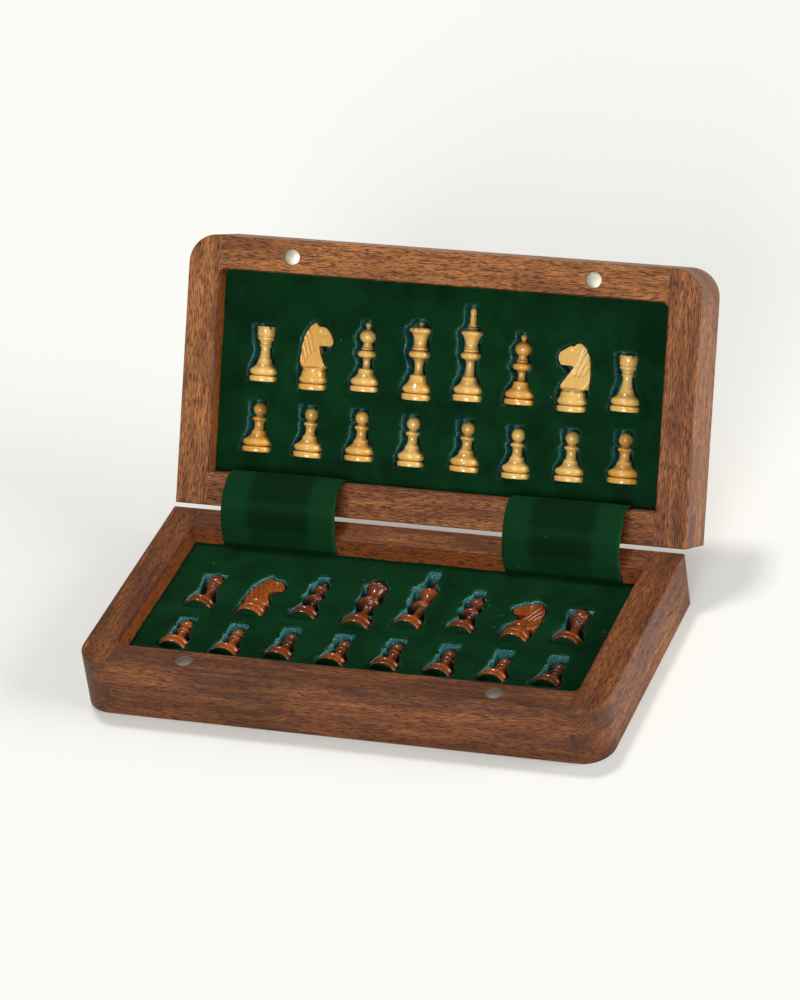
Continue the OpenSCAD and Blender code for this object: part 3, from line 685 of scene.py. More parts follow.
@dataclass
class Place:
    """Where a piece goes, what it rides on and what it stands for."""

    body: str
    slot: str
    matrix: Matrix
    replaces: tuple[str, ...] = ()

    def settle(self, piece: bpy.types.Object, material: bpy.types.Material, crease: float = 35.0,
               flat_sides: bool = False) -> bpy.types.Object:
        """Gives a finished mesh its shading, material, place and body.

        Args:
            piece: The piece, in millimetres in its own frame.
            material: Its finish.
            crease: The angle, in degrees, from which an edge is drawn sharp.
            flat_sides: Whether large flat faces keep their shading beside rounded edges.

        Returns:
            The piece.
        """
        mesh = piece.data
        mesh.materials.clear()
        mesh.materials.append(material)
        mesh.polygons.foreach_set("use_smooth", [True] * len(mesh.polygons))
        mesh.set_sharp_from_angle(angle=math.radians(crease))
        mesh.transform(self.matrix @ Matrix.Scale(MM, 4))
        mesh.update()
        if flat_sides:
            piece.modifiers.new("flat sides", "WEIGHTED_NORMAL").keep_sharp = True
        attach(piece, self.body)
        if self.replaces:
            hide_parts(*self.replaces)
        LOG.info("%s rides on %s, %d faces", piece.name, self.body, len(mesh.polygons))
        return piece


# Sizes


@dataclass(frozen=True)
class CaseSizes:
    """Sizes of the case in millimetres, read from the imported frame."""

    half_width: float
    half_depth: float
    height: float
    rail: float
    lip: float
    board: float
    velvet_top: float
    foam_top: float
    axis_y: float
    axis_z: float
    opened: float
    corner: float = 9.8
    pocket_corner: float = 2.5
    finger: float = 6.7
    rim_finger: float = 2.0

    @classmethod
    def from_frame(cls, frame: dict) -> "CaseSizes":
        """Reads the sizes.


        Returns:
            The sizes.
        """
        back_low, back_high = (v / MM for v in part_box("base_back_rail"))
        squares_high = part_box("base_light_squares")[1] / MM
        foam_low, foam_high = (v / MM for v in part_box("base_foam_tray"))
        velvet_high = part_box("base_velvet")[1] / MM
        hinge = next(j for j in frame["joints"] if j["name"] == "lid_hinge")
        return cls(half_width=back_high.x, half_depth=back_high.y, height=back_high.z,
                   rail=back_high.y - back_low.y, lip=back_high.y - squares_high.y, board=foam_low.z,
                   velvet_top=velvet_high.z, foam_top=foam_high.z,
                   axis_y=hinge["pos_m"][1] / MM, axis_z=hinge["pos_m"][2] / MM,
                   opened=-hinge["range_deg"][0])

    @property
    def pocket_x(self) -> float:
        """Half the width of the pocket."""
        return self.half_width - self.rail

    @property
    def pocket_y(self) -> float:
        """Half the depth of the pocket."""
        return self.half_depth - self.rail

    def matrix(self, half: Half) -> Matrix:
        """Where a half's own frame, in metres, lies in the row frame at rest."""
        if half is Half.BASE:
            return Matrix.Identity(4)
        axis = Vector((0.0, self.axis_y, self.axis_z)) * MM
        flat = Vector((0.0, self.axis_y, -self.axis_z)) * MM
        turn = Matrix.Rotation(math.radians(180 - self.opened), 4, "X")
        return Matrix.Translation(axis) @ turn @ Matrix.Translation(flat)


def round_plan(half_x: float, half_y: float, free: int, corner: float, inset: float = 0.0,
               hinge_corner: float = 0.4, steps: int = 10) -> list[Point2]:
    """The outline of a half or its pocket: round at the free side and nearly sharp at the hinges.

    Args:
        half_x: Half its width.
        half_y: Half its depth.
        free: The side of y with the round corners.
        corner: Their radius.
        inset: How far the outline is drawn in, or out if negative.
        hinge_corner: The radius of the other two corners.
        steps: How many steps each corner takes.

    Returns:
        The points, counterclockwise.
    """
    points = []
    for side_x, side_y, start in ((1, 1, 0), (-1, 1, 90), (-1, -1, 180), (1, -1, 270)):
        radius = max((corner if side_y == free else hinge_corner) - inset, 0.02)
        centre = (side_x * (half_x - inset - radius), side_y * (half_y - inset - radius))
        for angle in between(start, start + 90, steps):
            turn = math.radians(angle)
            points.append((centre[0] + radius * math.cos(turn), centre[1] + radius * math.sin(turn)))
    return points


# The case


# Each rail's tone: its own plank tone, plus painted light that makes the lid's rails lighter and painted
# shade that makes the base's rails darker.
RAIL_TONES_WITH_PAINTED_LIGHT = {Half.BASE: (-0.14, -0.08, -0.12, -0.1), Half.LID: (0.06, 0.0, 0.06, -0.02)}


@dataclass
class CaseHalf:
    """The four finger jointed rails of one half."""

    half: Half
    sizes: CaseSizes
    ease: float = 0.6
    inner_ease: float = 0.45
    foot_ease: float = 0.4
    joint_gap: float = 0.03
    margin: float = 2.0
    ease_steps: int = 3
    hinge_x: float = 49.5
    hinge_length: float = 26.2
    leaf_width: float = 8.5
    leaf_sink: float = 0.64
    knuckle: float = 1.55
    magnet_x: float = 52.9
    magnet_radius: float = 2.85
    magnet_depth: float = 2.0

    def finger_bands(self) -> list[Point2]:
        """Heights of the fingers of the front and back rails, from the lowest."""
        bands = []
        top = self.sizes.height - self.sizes.rim_finger
        while top > self.margin:
            bands.insert(0, (max(0.0, top - self.sizes.finger), top))
            top -= 2 * self.sizes.finger
        return bands

    def side_bands(self) -> list[Point2]:
        """Heights of the fingers of the side rails: what the others leave."""
        edges = [0.0] + [z for band in self.finger_bands() for z in band] + [self.sizes.height]
        return [(low, high) for low, high in zip(edges[::2], edges[1::2]) if high > low]

    def comb(self, reach: float, root: float, bands: Sequence[Point2]) -> list[Point2]:
        """The face of a rail with fingers at both ends.

        Args:
            reach: How far the fingers go from the middle.
            root: How far the rail goes between them.
            bands: The heights of the fingers.

        Returns:
            The outline as distance from the middle and height.
        """
        gap, top = self.joint_gap, self.sizes.height
        side = [(root - gap, -self.margin)]
        for low, high in bands:
            low = low + gap if low > 0 else -self.margin
            high = high - gap if high < top else top + self.margin
            side += [(root - gap, low), (reach, low), (reach, high), (root - gap, high)]
        side.append((root - gap, top + self.margin))
        side = [p for i, p in enumerate(side) if i == 0 or p != side[i - 1]]
        return side + [(-u, z) for u, z in reversed(side)]

    def blank(self) -> bpy.types.Object:
        """The whole frame of the half, with eased edges, before it is parted into rails."""
        s, free = self.sizes, self.half.free
        turns = [math.radians(a) for a in between(0, 90, self.ease_steps)]
        levels = [(self.foot_ease * (1 - math.cos(t)), self.foot_ease * (1 - math.sin(t)))
                  for t in turns]
        levels += [(s.height - self.ease * (1 - math.cos(t)), self.ease * (1 - math.sin(t)))
                   for t in reversed(turns)]
        levels = sorted(levels)
        outer = [[(x, y, z) for x, y in round_plan(s.half_width, s.half_depth, free, s.corner, inset)]
                 for z, inset in levels]
        ring = as_object(f"{self.half.value}_blank", stack(outer))
        low = s.board - 0.02
        mouth = [(low, 0.0)]
        mouth += [(s.height - self.inner_ease * math.cos(t), -self.inner_ease * (1 - math.cos(t)))
                  for t in turns]
        mouth.append((s.height + self.margin, -self.inner_ease))
        pocket = [[(x, y, z) for x, y in round_plan(s.pocket_x, s.pocket_y, free, s.pocket_corner, inset)]
                  for z, inset in mouth]
        work(ring, stack(pocket), Cut.TAKE)
        near, far = -s.half_depth + s.rail, s.half_depth - s.lip
        if free > 0:
            near, far = -far, -near
        work(ring, block((-s.pocket_x, near, -self.margin), (s.pocket_x, far, s.board)), Cut.TAKE)
        return ring

    def region(self, name: str) -> bmesh.types.BMesh:
        """The room that one rail takes of the blank."""
        s, free = self.sizes, self.half.free
        far_x, far_y = s.half_width + self.margin, s.half_depth + self.margin
        if name in ("left", "right"):
            side = -1 if name == "left" else 1
            face = self.comb(far_y, s.pocket_y, self.side_bands())
            return stack([[(side * x, y, z) for y, z in face] for x in (s.pocket_x, far_x)])
        side = free if name == "front" else -free
        face = self.comb(far_x, s.pocket_x, self.finger_bands())
        return stack([[(x, side * y, z) for x, z in face] for y in (s.pocket_y, far_y)])

    def fillets(self, ring: bpy.types.Object) -> bmesh.types.BMesh:
        """The two small fillers in the pocket's round corners, which belong to the front rail."""
        s, free = self.sizes, self.half.free
        both = bmesh.new()
        reach = s.pocket_corner + 0.2
        for side in (-1, 1):
            xs = sorted((side * (s.pocket_x - reach), side * (s.pocket_x - self.joint_gap)))
            ys = sorted((free * (s.pocket_y - reach), free * (s.pocket_y - self.joint_gap)))
            copy = ring.copy()
            copy.data = ring.data.copy()
            bpy.context.scene.collection.objects.link(copy)
            work(copy, block((xs[0], ys[0], s.board), (xs[1], ys[1], s.height + self.margin)), Cut.KEEP)
            both.from_mesh(copy.data)
            bpy.data.meshes.remove(copy.data)
        return both

    def hinge_cutters(self) -> list[bmesh.types.BMesh]:
        """The shapes of the two leaf recesses and knuckle rooms."""
        s, away = self.sizes, -self.half.free
        cutters = []
        for side in (-1, 1):
            x = side * self.hinge_x
            ys = sorted((away * (s.axis_y - self.leaf_width), away * (s.axis_y + self.margin)))
            cutters.append(block((x - self.hinge_length / 2, ys[0], s.axis_z - self.leaf_sink),
                                 (x + self.hinge_length / 2, ys[1], s.height + self.margin)))
            turn = Matrix.Translation((x, away * s.axis_y, s.axis_z)) @ Matrix.Rotation(math.pi / 2, 4, "Y")
            cutters.append(rod(self.knuckle, self.hinge_length, turn))
        return cutters

    def mark(self, mesh: bpy.types.Mesh, along_y: bool, lot: float, tone: float) -> None:
        """Stores the painted shade along the rim's inner edge, the painted highlight and wear on the outer
        eased edges, where the wood is dusty or cut across, and its place in the plank.

        Args:
            mesh: The rail's mesh, in the half's frame.
            along_y: Whether the grain runs along y and not x.
            lot: A number that picks the stretch of wood.
            tone: How much lighter than the middle the plank is drawn: a tone of its own, plus painted light
                on the lid's rails and painted shade on the base's.
        """
        s = self.sizes
        marks = {"wear_and_highlight": [], "rim_shade": [], "dust": [], "inner": [], "endgrain": []}
        for face in mesh.polygons:
            n, c = face.normal, face.center
            into = max(abs(c.x) - s.pocket_x, abs(c.y) - s.pocket_y)
            slanted = 0.12 < abs(n.z) < 0.985
            upright = abs(n.z) < 0.05
            corner = abs(c.x) > s.pocket_x - s.pocket_corner and abs(c.y) > s.pocket_y - s.pocket_corner
            # Painted shade: a dark line on the rim's inner round-over.
            marks["rim_shade"].append(1.0 if slanted and into < 1.0 and c.z > s.board + 1 else 0.0)
            # Painted highlight with some wear on the outer eased edges: full strength on the base's front
            # right, faint elsewhere.
            highlight_zone = self.half is Half.BASE and 24 < c.x < 78 and c.y < 0
            marks["wear_and_highlight"].append((1.0 if highlight_zone else 0.15) if slanted and into > s.rail - 1.5 else 0.0)
            marks["dust"].append(1.0 if upright and into < -0.05 and corner and c.z > s.velvet_top - 1
                                 else 0.0)
            marks["inner"].append(1.0 if upright and into < 0.5 and c.z > s.board + 1 else 0.0)
            marks["endgrain"].append(abs(n.y if along_y else n.x))
        for name, values in marks.items():
            store(mesh, name, "FLOAT", "FACE", values)
        plank = []
        for corner in mesh.vertices:
            x, y, z = corner.co
            plank += [(y if along_y else x) * MM + lot, (x if along_y else y) * MM + lot, z * MM]
        store(mesh, "plank", "FLOAT_VECTOR", "POINT", plank)
        store(mesh, "tone", "FLOAT", "POINT", [tone] * len(mesh.vertices))

    def build(self, wood: bpy.types.Material) -> None:
        """Builds the four rails.

        Args:
            wood: Their finish.
        """
        s, free, word = self.sizes, self.half.free, self.half.value
        ring = self.blank()
        for number, name in enumerate(("front", "back", "left", "right")):
            rail = ring.copy()
            rail.data = ring.data.copy()
            bpy.context.scene.collection.objects.link(rail)
            work(rail, self.region(name), Cut.KEEP)
            if name == "front":
                shape = bmesh.new()
                shape.from_mesh(rail.data)
                for side in (-1, 1):
                    spot = (side * self.magnet_x, free * (s.half_depth - s.rail / 2), s.height)
                    work(rail, rod(self.magnet_radius, 2 * self.magnet_depth, Matrix.Translation(spot)),
                         Cut.TAKE)
                shape.clear()
                shape.from_mesh(rail.data)
                extra = bpy.data.meshes.new("fillers")
                fillets = self.fillets(ring)
                fillets.to_mesh(extra)
                fillets.free()
                shape.from_mesh(extra)
                shape.to_mesh(rail.data)
                shape.free()
                bpy.data.meshes.remove(extra)
            if name == "back":
                for cutter in self.hinge_cutters():
                    work(rail, cutter, Cut.TAKE)
            rail.name = f"{word}_{name}_rail_wood"
            lot = 0.31 * number + (0.0 if self.half is Half.BASE else 1.7)
            self.mark(rail.data, name in ("left", "right"), lot, RAIL_TONES_WITH_PAINTED_LIGHT[self.half][number])
            Place(word, "case_wood", s.matrix(self.half), (f"{word}_{name}_rail",)).settle(
                rail, wood, flat_sides=True)
        bpy.data.meshes.remove(ring.data)

    def magnets(self, metal: bpy.types.Material, glue: bpy.types.Material) -> None:
        """Builds the two closing magnets and the glue round them.

        Args:
            metal: The magnets' finish.
            glue: The glue's finish.
        """
        s, word = self.sizes, self.half.value
        discs, rings = bmesh.new(), bmesh.new()
        for side in (-1, 1):
            spot = Vector((side * self.magnet_x, self.half.free * (s.half_depth - s.rail / 2), s.height))
            radius, edge, sunk = 2.6, 0.12, 0.07
            profile = [(0.0, -self.magnet_depth), (radius, -self.magnet_depth), (radius, -sunk - edge),
                       (radius - edge * 0.3, -sunk - edge * 0.3), (radius - edge, -sunk), (0.0, -sunk + 0.02)]
            add_shape(discs, lathe(profile), Matrix.Translation(spot))
            wavy = lathe([(radius - 0.02, -0.6), (self.magnet_radius - 0.02, -0.6),
                          (self.magnet_radius + 0.02, -0.12), (radius + 0.12, -0.05),
                          (radius + 0.02, -0.14), (radius - 0.02, -0.6)])
            for corner in wavy.verts:
                corner.co.z += 0.12 * noise.noise(corner.co * 0.9 + spot)
            add_shape(rings, wavy, Matrix.Translation(spot))
        Place(word, "magnet", s.matrix(self.half), (f"{word}_magnets",)).settle(
            as_object(f"{word}_magnet_discs", discs), metal)
        Place(word, "magnet", s.matrix(self.half)).settle(
            as_object(f"{word}_magnet_glue", rings), glue)


def add_shape(target: bmesh.types.BMesh, shape: bmesh.types.BMesh, place: Matrix) -> None:
    """Adds one shape to another at a place, and frees it."""
    bmesh.ops.transform(shape, matrix=place, verts=shape.verts)
    mesh = bpy.data.meshes.new("part")
    shape.to_mesh(mesh)
    shape.free()
    target.from_mesh(mesh)
    bpy.data.meshes.remove(mesh)


# Chess pieces


@dataclass(frozen=True)
class Turning:
    """Sizes of one kind of piece, in millimetres: its height and foot, and the radius and height of
    its neck, collar and head, with the half width of its cavity's tip and how far that runs past it."""

    height: float
    foot: float
    foot_top: float
    neck: Point2
    collar: Point2
    head: Point2
    tip: Point2


TURNINGS = {
    Kind.KING: Turning(31.2, 5.2, 5.2, (1.4, 11.8), (3.45, 15.4), (3.8, 22.9), (2.5, 1.6)),
    Kind.QUEEN: Turning(26.3, 5.2, 5.1, (1.35, 11.2), (3.75, 15.5), (3.9, 23.5), (2.7, 1.0)),
    Kind.BISHOP: Turning(23.6, 5.15, 4.85, (1.2, 9.6), (3.25, 12.9), (2.85, 18.7), (2.2, 0.8)),
    Kind.ROOK: Turning(18.8, 5.15, 4.85, (1.6, 10.8), (2.9, 14.8), (3.1, 17.2), (4.5, 1.1)),
    Kind.KNIGHT: Turning(23.0, 5.2, 4.95, (3.9, 6.6), (3.9, 6.6), (6.4, 16.7), (3.3, 1.1)),
    Kind.PAWN: Turning(17.0, 5.15, 4.85, (1.6, 9.2), (2.5, 11.4), (2.35, 14.65), (3.3, 1.1)),
}
OFFICERS = (Kind.ROOK, Kind.KNIGHT, Kind.BISHOP, Kind.QUEEN, Kind.KING, Kind.BISHOP, Kind.KNIGHT, Kind.ROOK)
OFFICER_NAMES = ("left_rook", "left_knight", "left_bishop", "queen",
                 "king", "right_bishop", "right_knight", "right_rook")
FELT = 0.4


def bead(radius: float, height: float, thickness: float) -> list[Point2]:
    """A half round bead, from its lower to its upper edge."""
    half = thickness / 2
    return [(radius - half + half * math.cos(a), height + half * math.sin(a))
            for a in between(-math.pi / 2, math.pi / 2, 10)]


def sweep(start: Point2, end: Point2) -> list[Point2]:
    """A hollow sweep between two points, steep at its end."""
    return [(end[0] + (start[0] - end[0]) * (1 - t) ** 2, start[1] + (end[1] - start[1]) * t)
            for t in between(0.1, 1, 9)]


def ball(radius: float, height: float, low: float, high: float, flat: float = 1.0) -> list[Point2]:
    """An arc of a ball, which may be flattened, between two angles in degrees."""
    return [(max(0.0, radius * math.cos(math.radians(a))),
             height + flat * radius * math.sin(math.radians(a))) for a in between(low, high, 16)]


def foot(turning: Turning, shoulder: Point2) -> list[Point2]:
    """The foot of every piece: a disc, a groove and a ring that runs into a hollow bell.

    Args:
        turning: Sizes of the piece.
        shoulder: The radius and height of the bell's shoulder.

    Returns:
        The points, from the axis to the shoulder.
    """
    radius, ring = turning.foot, 2.4
    middle, groove = turning.foot_top - ring / 2, turning.foot_top - ring - 0.2
    arc = [(radius - 0.08 - ring / 2 * (1 - math.cos(a)), middle + ring / 2 * math.sin(a))
           for a in between(-math.pi / 2, math.radians(50), 12)]
    return ([(0.0, FELT), (radius - 0.3, FELT), (radius - 0.08, FELT + 0.08), (radius, FELT + 0.3),
             (radius, groove - 0.42), (radius - 0.12, groove - 0.2), (radius - 0.45, groove - 0.05),
             (radius - 0.9, groove + 0.02)] + arc
            + sweep(arc[-1], (shoulder[0], shoulder[1] - 0.4))
            + [(shoulder[0] - 0.03, shoulder[1] - 0.2), (shoulder[0] - 0.12, shoulder[1] - 0.04),
               (shoulder[0] - 0.3, shoulder[1] + 0.08)])


def king_profile(t: Turning) -> list[Point2]:
    """The king, with a flared crown and a stepped finial."""
    crown, tip = t.head[1], t.height
    return (foot(t, (2.5, 8.3))
            + [(1.75, 8.5), (1.56, 8.75), (1.48, 9.6), t.neck, (1.42, 13.0), (1.6, 13.8), (2.0, 14.05),
               (2.3, 14.1)]
            + bead(t.collar[0], t.collar[1], 2.2) + bead(2.6, 17.1, 1.0) + bead(2.35, 17.95, 0.6)
            + [(2.05, 18.35), (2.0, 18.7), (2.08, 19.3), (2.4, 20.4), (2.95, 21.6),
               (t.head[0] - 0.2, crown - 0.4), (t.head[0], crown), (t.head[0] - 0.04, crown + 0.2),
               (3.5, 23.4), (3.2, 23.6), (2.5, 23.75), (1.9, 23.85)]
            + bead(1.8, 24.4, 0.8) + bead(1.5, 25.4, 0.8)
            + [(1.15, 25.9), (1.1, 26.2), (1.1, 28.3), (0.9, 28.45), (0.86, 28.65), (0.9, 28.85),
               (1.12, 29.0), (1.17, tip - 1.5), (1.12, tip - 0.8), (0.95, tip - 0.35), (0.65, tip - 0.1),
               (0.3, tip - 0.02), (0.0, tip)])


def queen_profile(t: Turning) -> list[Point2]:
    """The queen, with a rim that is scalloped afterwards and a ball on top."""
    return (foot(t, (2.85, 8.5))
            + [(1.8, 8.72), (1.6, 8.95), (1.46, 9.7), t.neck, (1.48, 12.6), (1.8, 13.6), (2.2, 14.15),
               (2.6, 14.35)]
            + bead(t.collar[0], t.collar[1], 2.2) + bead(2.7, 17.4, 1.2) + bead(2.25, 18.4, 0.6)
            + [(2.12, 18.8), (2.1, 19.1), (2.2, 20.0), (2.5, 21.2), (2.9, 22.1), (3.1, 22.5)]
            + bead(t.head[0], t.head[1], 1.8) + [(2.6, 24.42), (1.8, 24.6), (0.9, 24.75)]
            + ball(0.95, t.height - 0.95, -45, 90))


def bishop_profile(t: Turning) -> list[Point2]:
    """The bishop, with a round head and a knob."""
    return (foot(t, (2.6, 7.8))
            + [(1.6, 7.98), (1.36, 8.2), (1.25, 8.8), t.neck, (1.22, 10.6), (1.4, 11.3), (1.9, 11.65)]
            + bead(t.collar[0], t.collar[1], 2.3) + bead(2.1, 14.65, 0.9) + bead(1.8, 15.5, 0.7)
            + [(1.5, 16.0), (1.46, 16.3)] + ball(t.head[0], t.head[1], -58, 70, 0.86)
            + [(0.78, 21.15), (0.72, 21.4)] + ball(1.1, t.height - 1.1, -48, 90))


def rook_profile(t: Turning) -> list[Point2]:
    """The rook, with a ring under its cup."""
    wall, collar = t.head[0], t.collar[0]
    return (foot(t, (2.35, 7.9))
            + [(1.98, 8.15), (1.9, 8.5), (1.72, 9.5), t.neck, (1.62, 11.6), (1.72, 12.0)]
            + bead(2.1, 12.4, 0.7)
            + [(1.98, 12.9), (2.0, 13.3), (2.15, 13.8), (2.5, 14.2), (collar - 0.08, 14.4), (collar, 14.6),
               (collar, 15.1), (collar - 0.08, 15.3), (collar - 0.25, 15.4), (collar - 0.25, 15.5),
               (wall - 0.15, 15.6), (wall, 15.75), (wall, t.height - 0.25), (wall - 0.06, t.height - 0.08),
               (wall - 0.2, t.height), (0.0, t.height)])


def pawn_profile(t: Turning) -> list[Point2]:
    """The pawn, with a thin collar under a ball."""
    return (foot(t, (2.5, 7.4))
            + [(1.98, 7.55), (1.8, 7.8), (1.66, 8.4), t.neck, (1.64, 10.0), (1.8, 10.5), (2.05, 10.7)]
            + bead(t.collar[0], t.collar[1], 1.2) + [(1.7, 12.1), (1.5, 12.3)]
            + ball(t.head[0], t.head[1], -56, 90))


def knight_foot_profile(t: Turning) -> list[Point2]:
    """The turned foot under a knight's head."""
    return (foot(t, (t.neck[0] + 0.32, t.neck[1]))
            + [(t.neck[0], 6.9), (t.neck[0] + 0.02, 7.2), (4.05, 7.55), (4.1, 7.8), (0.0, 7.8)])


PROFILES: dict[Kind, Callable[[Turning], list[Point2]]] = {
    Kind.KING: king_profile, Kind.QUEEN: queen_profile, Kind.BISHOP: bishop_profile,
    Kind.ROOK: rook_profile, Kind.PAWN: pawn_profile, Kind.KNIGHT: knight_foot_profile}


@dataclass(frozen=True)
class Carving:
    """One carved head, facing right: its outline from the front of the foot, where the notch under
    its jaw lies in it, the cuts of its mane and its eye."""

    outline: tuple[Point2, ...]
    mane: tuple[tuple[Point2, Point2], ...]
    eye: Point2
    notch: tuple[int, int] = (3, 4)
    thickness: float = 5.0
    top_thickness: float = 3.4

    @property
    def low(self) -> float:
        """The height of the head's underside."""
        return self.outline[0][1]


CARVINGS = {
    1: Carving(outline=(
        (4.8, 7.8), (3.7, 10.1), (2.5, 12.6), (1.8, 14.8), (2.3, 15.3), (6.0, 15.3), (6.65, 15.8),
        (6.9, 16.9), (6.4, 18.6), (5.6, 19.8), (4.7, 20.8), (3.9, 21.5), (2.6, 21.6), (1.6, 21.6),
        (1.0, 22.2), (0.3, 22.85), (-0.6, 22.4), (-1.8, 21.2), (-3.1, 19.2), (-3.9, 16.9), (-4.3, 14.0),
        (-4.5, 11.0), (-4.6, 7.8)),
        mane=(((-2.3, 20.7), (0.3, 13.4)), ((-3.1, 19.0), (-0.9, 12.0)), ((-3.9, 17.0), (-1.9, 10.9)),
              ((-4.4, 13.6), (-2.9, 9.3))), eye=(3.2, 19.6)),
    -1: Carving(outline=(
        (4.6, 7.8), (2.9, 10.5), (1.2, 12.9), (-0.2, 15.0), (0.4, 15.4), (4.3, 15.5), (4.8, 16.5),
        (5.15, 17.2), (5.2, 18.6), (4.8, 19.7), (3.0, 20.9), (1.1, 22.0), (0.1, 21.8), (-0.4, 22.5),
        (-1.5, 23.0), (-2.6, 22.8), (-3.8, 21.7), (-5.1, 19.5), (-5.7, 17.6), (-5.9, 15.4),
        (-6.2, 12.9), (-6.05, 10.6), (-5.6, 7.8)),
        mane=(((-4.1, 21.4), (-0.5, 12.2)), ((-5.3, 19.1), (-1.8, 12.1)), ((-5.9, 16.4), (-3.6, 12.4))),
        eye=(-0.3, 20.0)),
}


@dataclass
class Chessman:
    """One chess piece, lying in its tray."""

    name: str
    kind: Kind
    facing: int
    half: Half
    x: float
    row: float
    lean: float
    turn: float
    shade: float
    # How much painted shade darkens the upper part of the piece.
    head_shade: float
    girth: float

    def place(self, sizes: CaseSizes, drop: float) -> Matrix:
        """Where the upright piece, in metres, lies in the row frame.

        Args:
            sizes: Sizes of the case.
            drop: How far its middle lies below the velvet, in millimetres.

        Returns:
            The matrix.
        """
        spot = Vector((self.x, self.row - sizes.half_depth, sizes.velvet_top - drop)) * MM
        return (sizes.matrix(self.half) @ Matrix.Translation(spot)
                @ Matrix.Rotation(math.radians(-self.turn), 4, "Z")
                @ Matrix.Rotation(math.radians(-90 - self.lean), 4, "X"))

    def shape(self) -> bpy.types.Object:
        """Builds the wood of the piece, upright, in millimetres."""
        turning = TURNINGS[self.kind]
        body = lathe(PROFILES[self.kind](turning))
        for corner in body.verts:
            share = 1 + (self.girth - 1) * min(1.0, max(0.0, 1.6 - corner.co.z / turning.foot_top))
            corner.co.x *= share
            corner.co.y *= share
        if self.kind is Kind.QUEEN:
            self.scallop(body, turning)
        wood = as_object(self.name + "_wood", body)
        if self.kind is Kind.ROOK:
            self.battlements(wood, turning)
        if self.kind is Kind.KNIGHT:
            self.add_head(wood)
        return wood

    def scallop(self, body: bmesh.types.BMesh, turning: Turning) -> None:
        """Files eight shallow hollows into the queen's rim."""
        low, deep = turning.head[1] - 1.0, 0.42
        for corner in body.verts:
            reach = math.hypot(corner.co.x, corner.co.y)
            if reach > 2.4 and low < corner.co.z < turning.head[1] + 1.2:
                angle = math.atan2(corner.co.y, corner.co.x)
                rise = min(1.0, (corner.co.z - low) / 1.0)
                share = 1 - deep * rise * (0.5 + 0.5 * math.cos(8 * angle)) ** 1.5 / reach
                corner.co.x *= share
                corner.co.y *= share

    def battlements(self, wood: bpy.types.Object, turning: Turning) -> None:
        """Hollows the rook's cup and notches its wall."""
        depth, wall, notch = 1.0, 0.85, 0.9
        top = Matrix.Translation((0, 0, turning.height))
        work(wood, rod(turning.head[0] - wall, 2 * depth, top), Cut.TAKE)
        for angle in (45, 135):
            bar = block((-5.0, -notch / 2, turning.height - depth * 0.9),
                        (5.0, notch / 2, turning.height + 1))
            bmesh.ops.rotate(bar, cent=(0, 0, 0), matrix=Matrix.Rotation(math.radians(angle), 3, "Z"),
                             verts=bar.verts)
            work(wood, bar, Cut.TAKE)

    def add_head(self, wood: bpy.types.Object) -> None:
        """Carves a knight's head and sets it on its turned foot.

        Args:
            wood: The turned foot, which becomes the whole piece.
        """
        carving = CARVINGS[self.facing]
        half, low = carving.thickness / 2, carving.low
        head = stack([[(x, y, z) for x, z in carving.outline] for y in (-half, half)])
        carved = as_object("head", head)
        taper = (carving.thickness - carving.top_thickness) / 2
        lean = math.atan(taper / (TURNINGS[Kind.KNIGHT].height - low))
        mane_cut, back_turn = 0.55, Matrix.Rotation(math.pi, 4, "Z")

        def cheek(z: float) -> float:
            """How far the side of the head is from its middle at a height."""
            return half - math.tan(lean) * (z - low)

        for side in (-1, 1):
            slab = block((-9, 0, -3), (9, 4, 22))
            bmesh.ops.rotate(slab, cent=(0, 0, 0), matrix=Matrix.Rotation(lean, 3, "X"), verts=slab.verts)
            bmesh.ops.translate(slab, vec=(0, half, low), verts=slab.verts)
            if side < 0:
                bmesh.ops.scale(slab, vec=(1, -1, 1), verts=slab.verts)
                bmesh.ops.reverse_faces(slab, faces=slab.faces)
            work(carved, slab, Cut.TAKE)
            for upper, lower in carving.mane:
                start, end = (Vector((p[0], side * (cheek(p[1]) + 0.02), p[1])) for p in (upper, lower))
                middle, along = (start + end) / 2, end - start
                place = Matrix.Translation(middle) @ along.to_track_quat("Z", "Y").to_matrix().to_4x4()
                work(carved, rod(mane_cut, along.length, place, 16), Cut.TAKE)
            for corner, angle in ((carving.outline[0], 35), (carving.outline[-1], -35)):
                wedge = block((-4, 0, -1), (4, 4, 6))
                place = (Matrix.Translation((corner[0], side * half * 0.35, corner[1]))
                         @ Matrix.Rotation(math.radians(side * -angle * 1.2), 4, "Z")
                         @ Matrix.Rotation(math.radians(side * -28), 4, "X"))
                if side < 0:
                    place = place @ back_turn
                bmesh.ops.transform(wedge, matrix=place, verts=wedge.verts)
                work(carved, wedge, Cut.TAKE)
            eye = (carving.eye[0], side * cheek(carving.eye[1]), carving.eye[1])
            turn = Matrix.Rotation(math.pi / 2 if side < 0 else -math.pi / 2, 4, "X")
            ring = lathe([(0.0, -0.25), (0.22, -0.3), (0.45, -0.2), (0.55, 0.02), (0.75, 0.02), (0.85, -0.25),
                          (1.1, -0.25), (1.2, 0.05), (1.2, 0.6), (0.0, 0.6)], 24)
            bmesh.ops.transform(ring, matrix=Matrix.Translation(eye) @ turn, verts=ring.verts)
            work(carved, ring, Cut.TAKE)
        mesh = round_over(carved, 0.16, 2)
        shape = bmesh.new()
        shape.from_mesh(wood.data)
        shape.from_mesh(mesh)
        bmesh.ops.scale(shape, vec=(self.facing, 1, 1), verts=shape.verts)
        if self.facing < 0:
            bmesh.ops.reverse_faces(shape, faces=shape.faces)
        shape.to_mesh(wood.data)
        shape.free()
        bpy.data.meshes.remove(mesh)

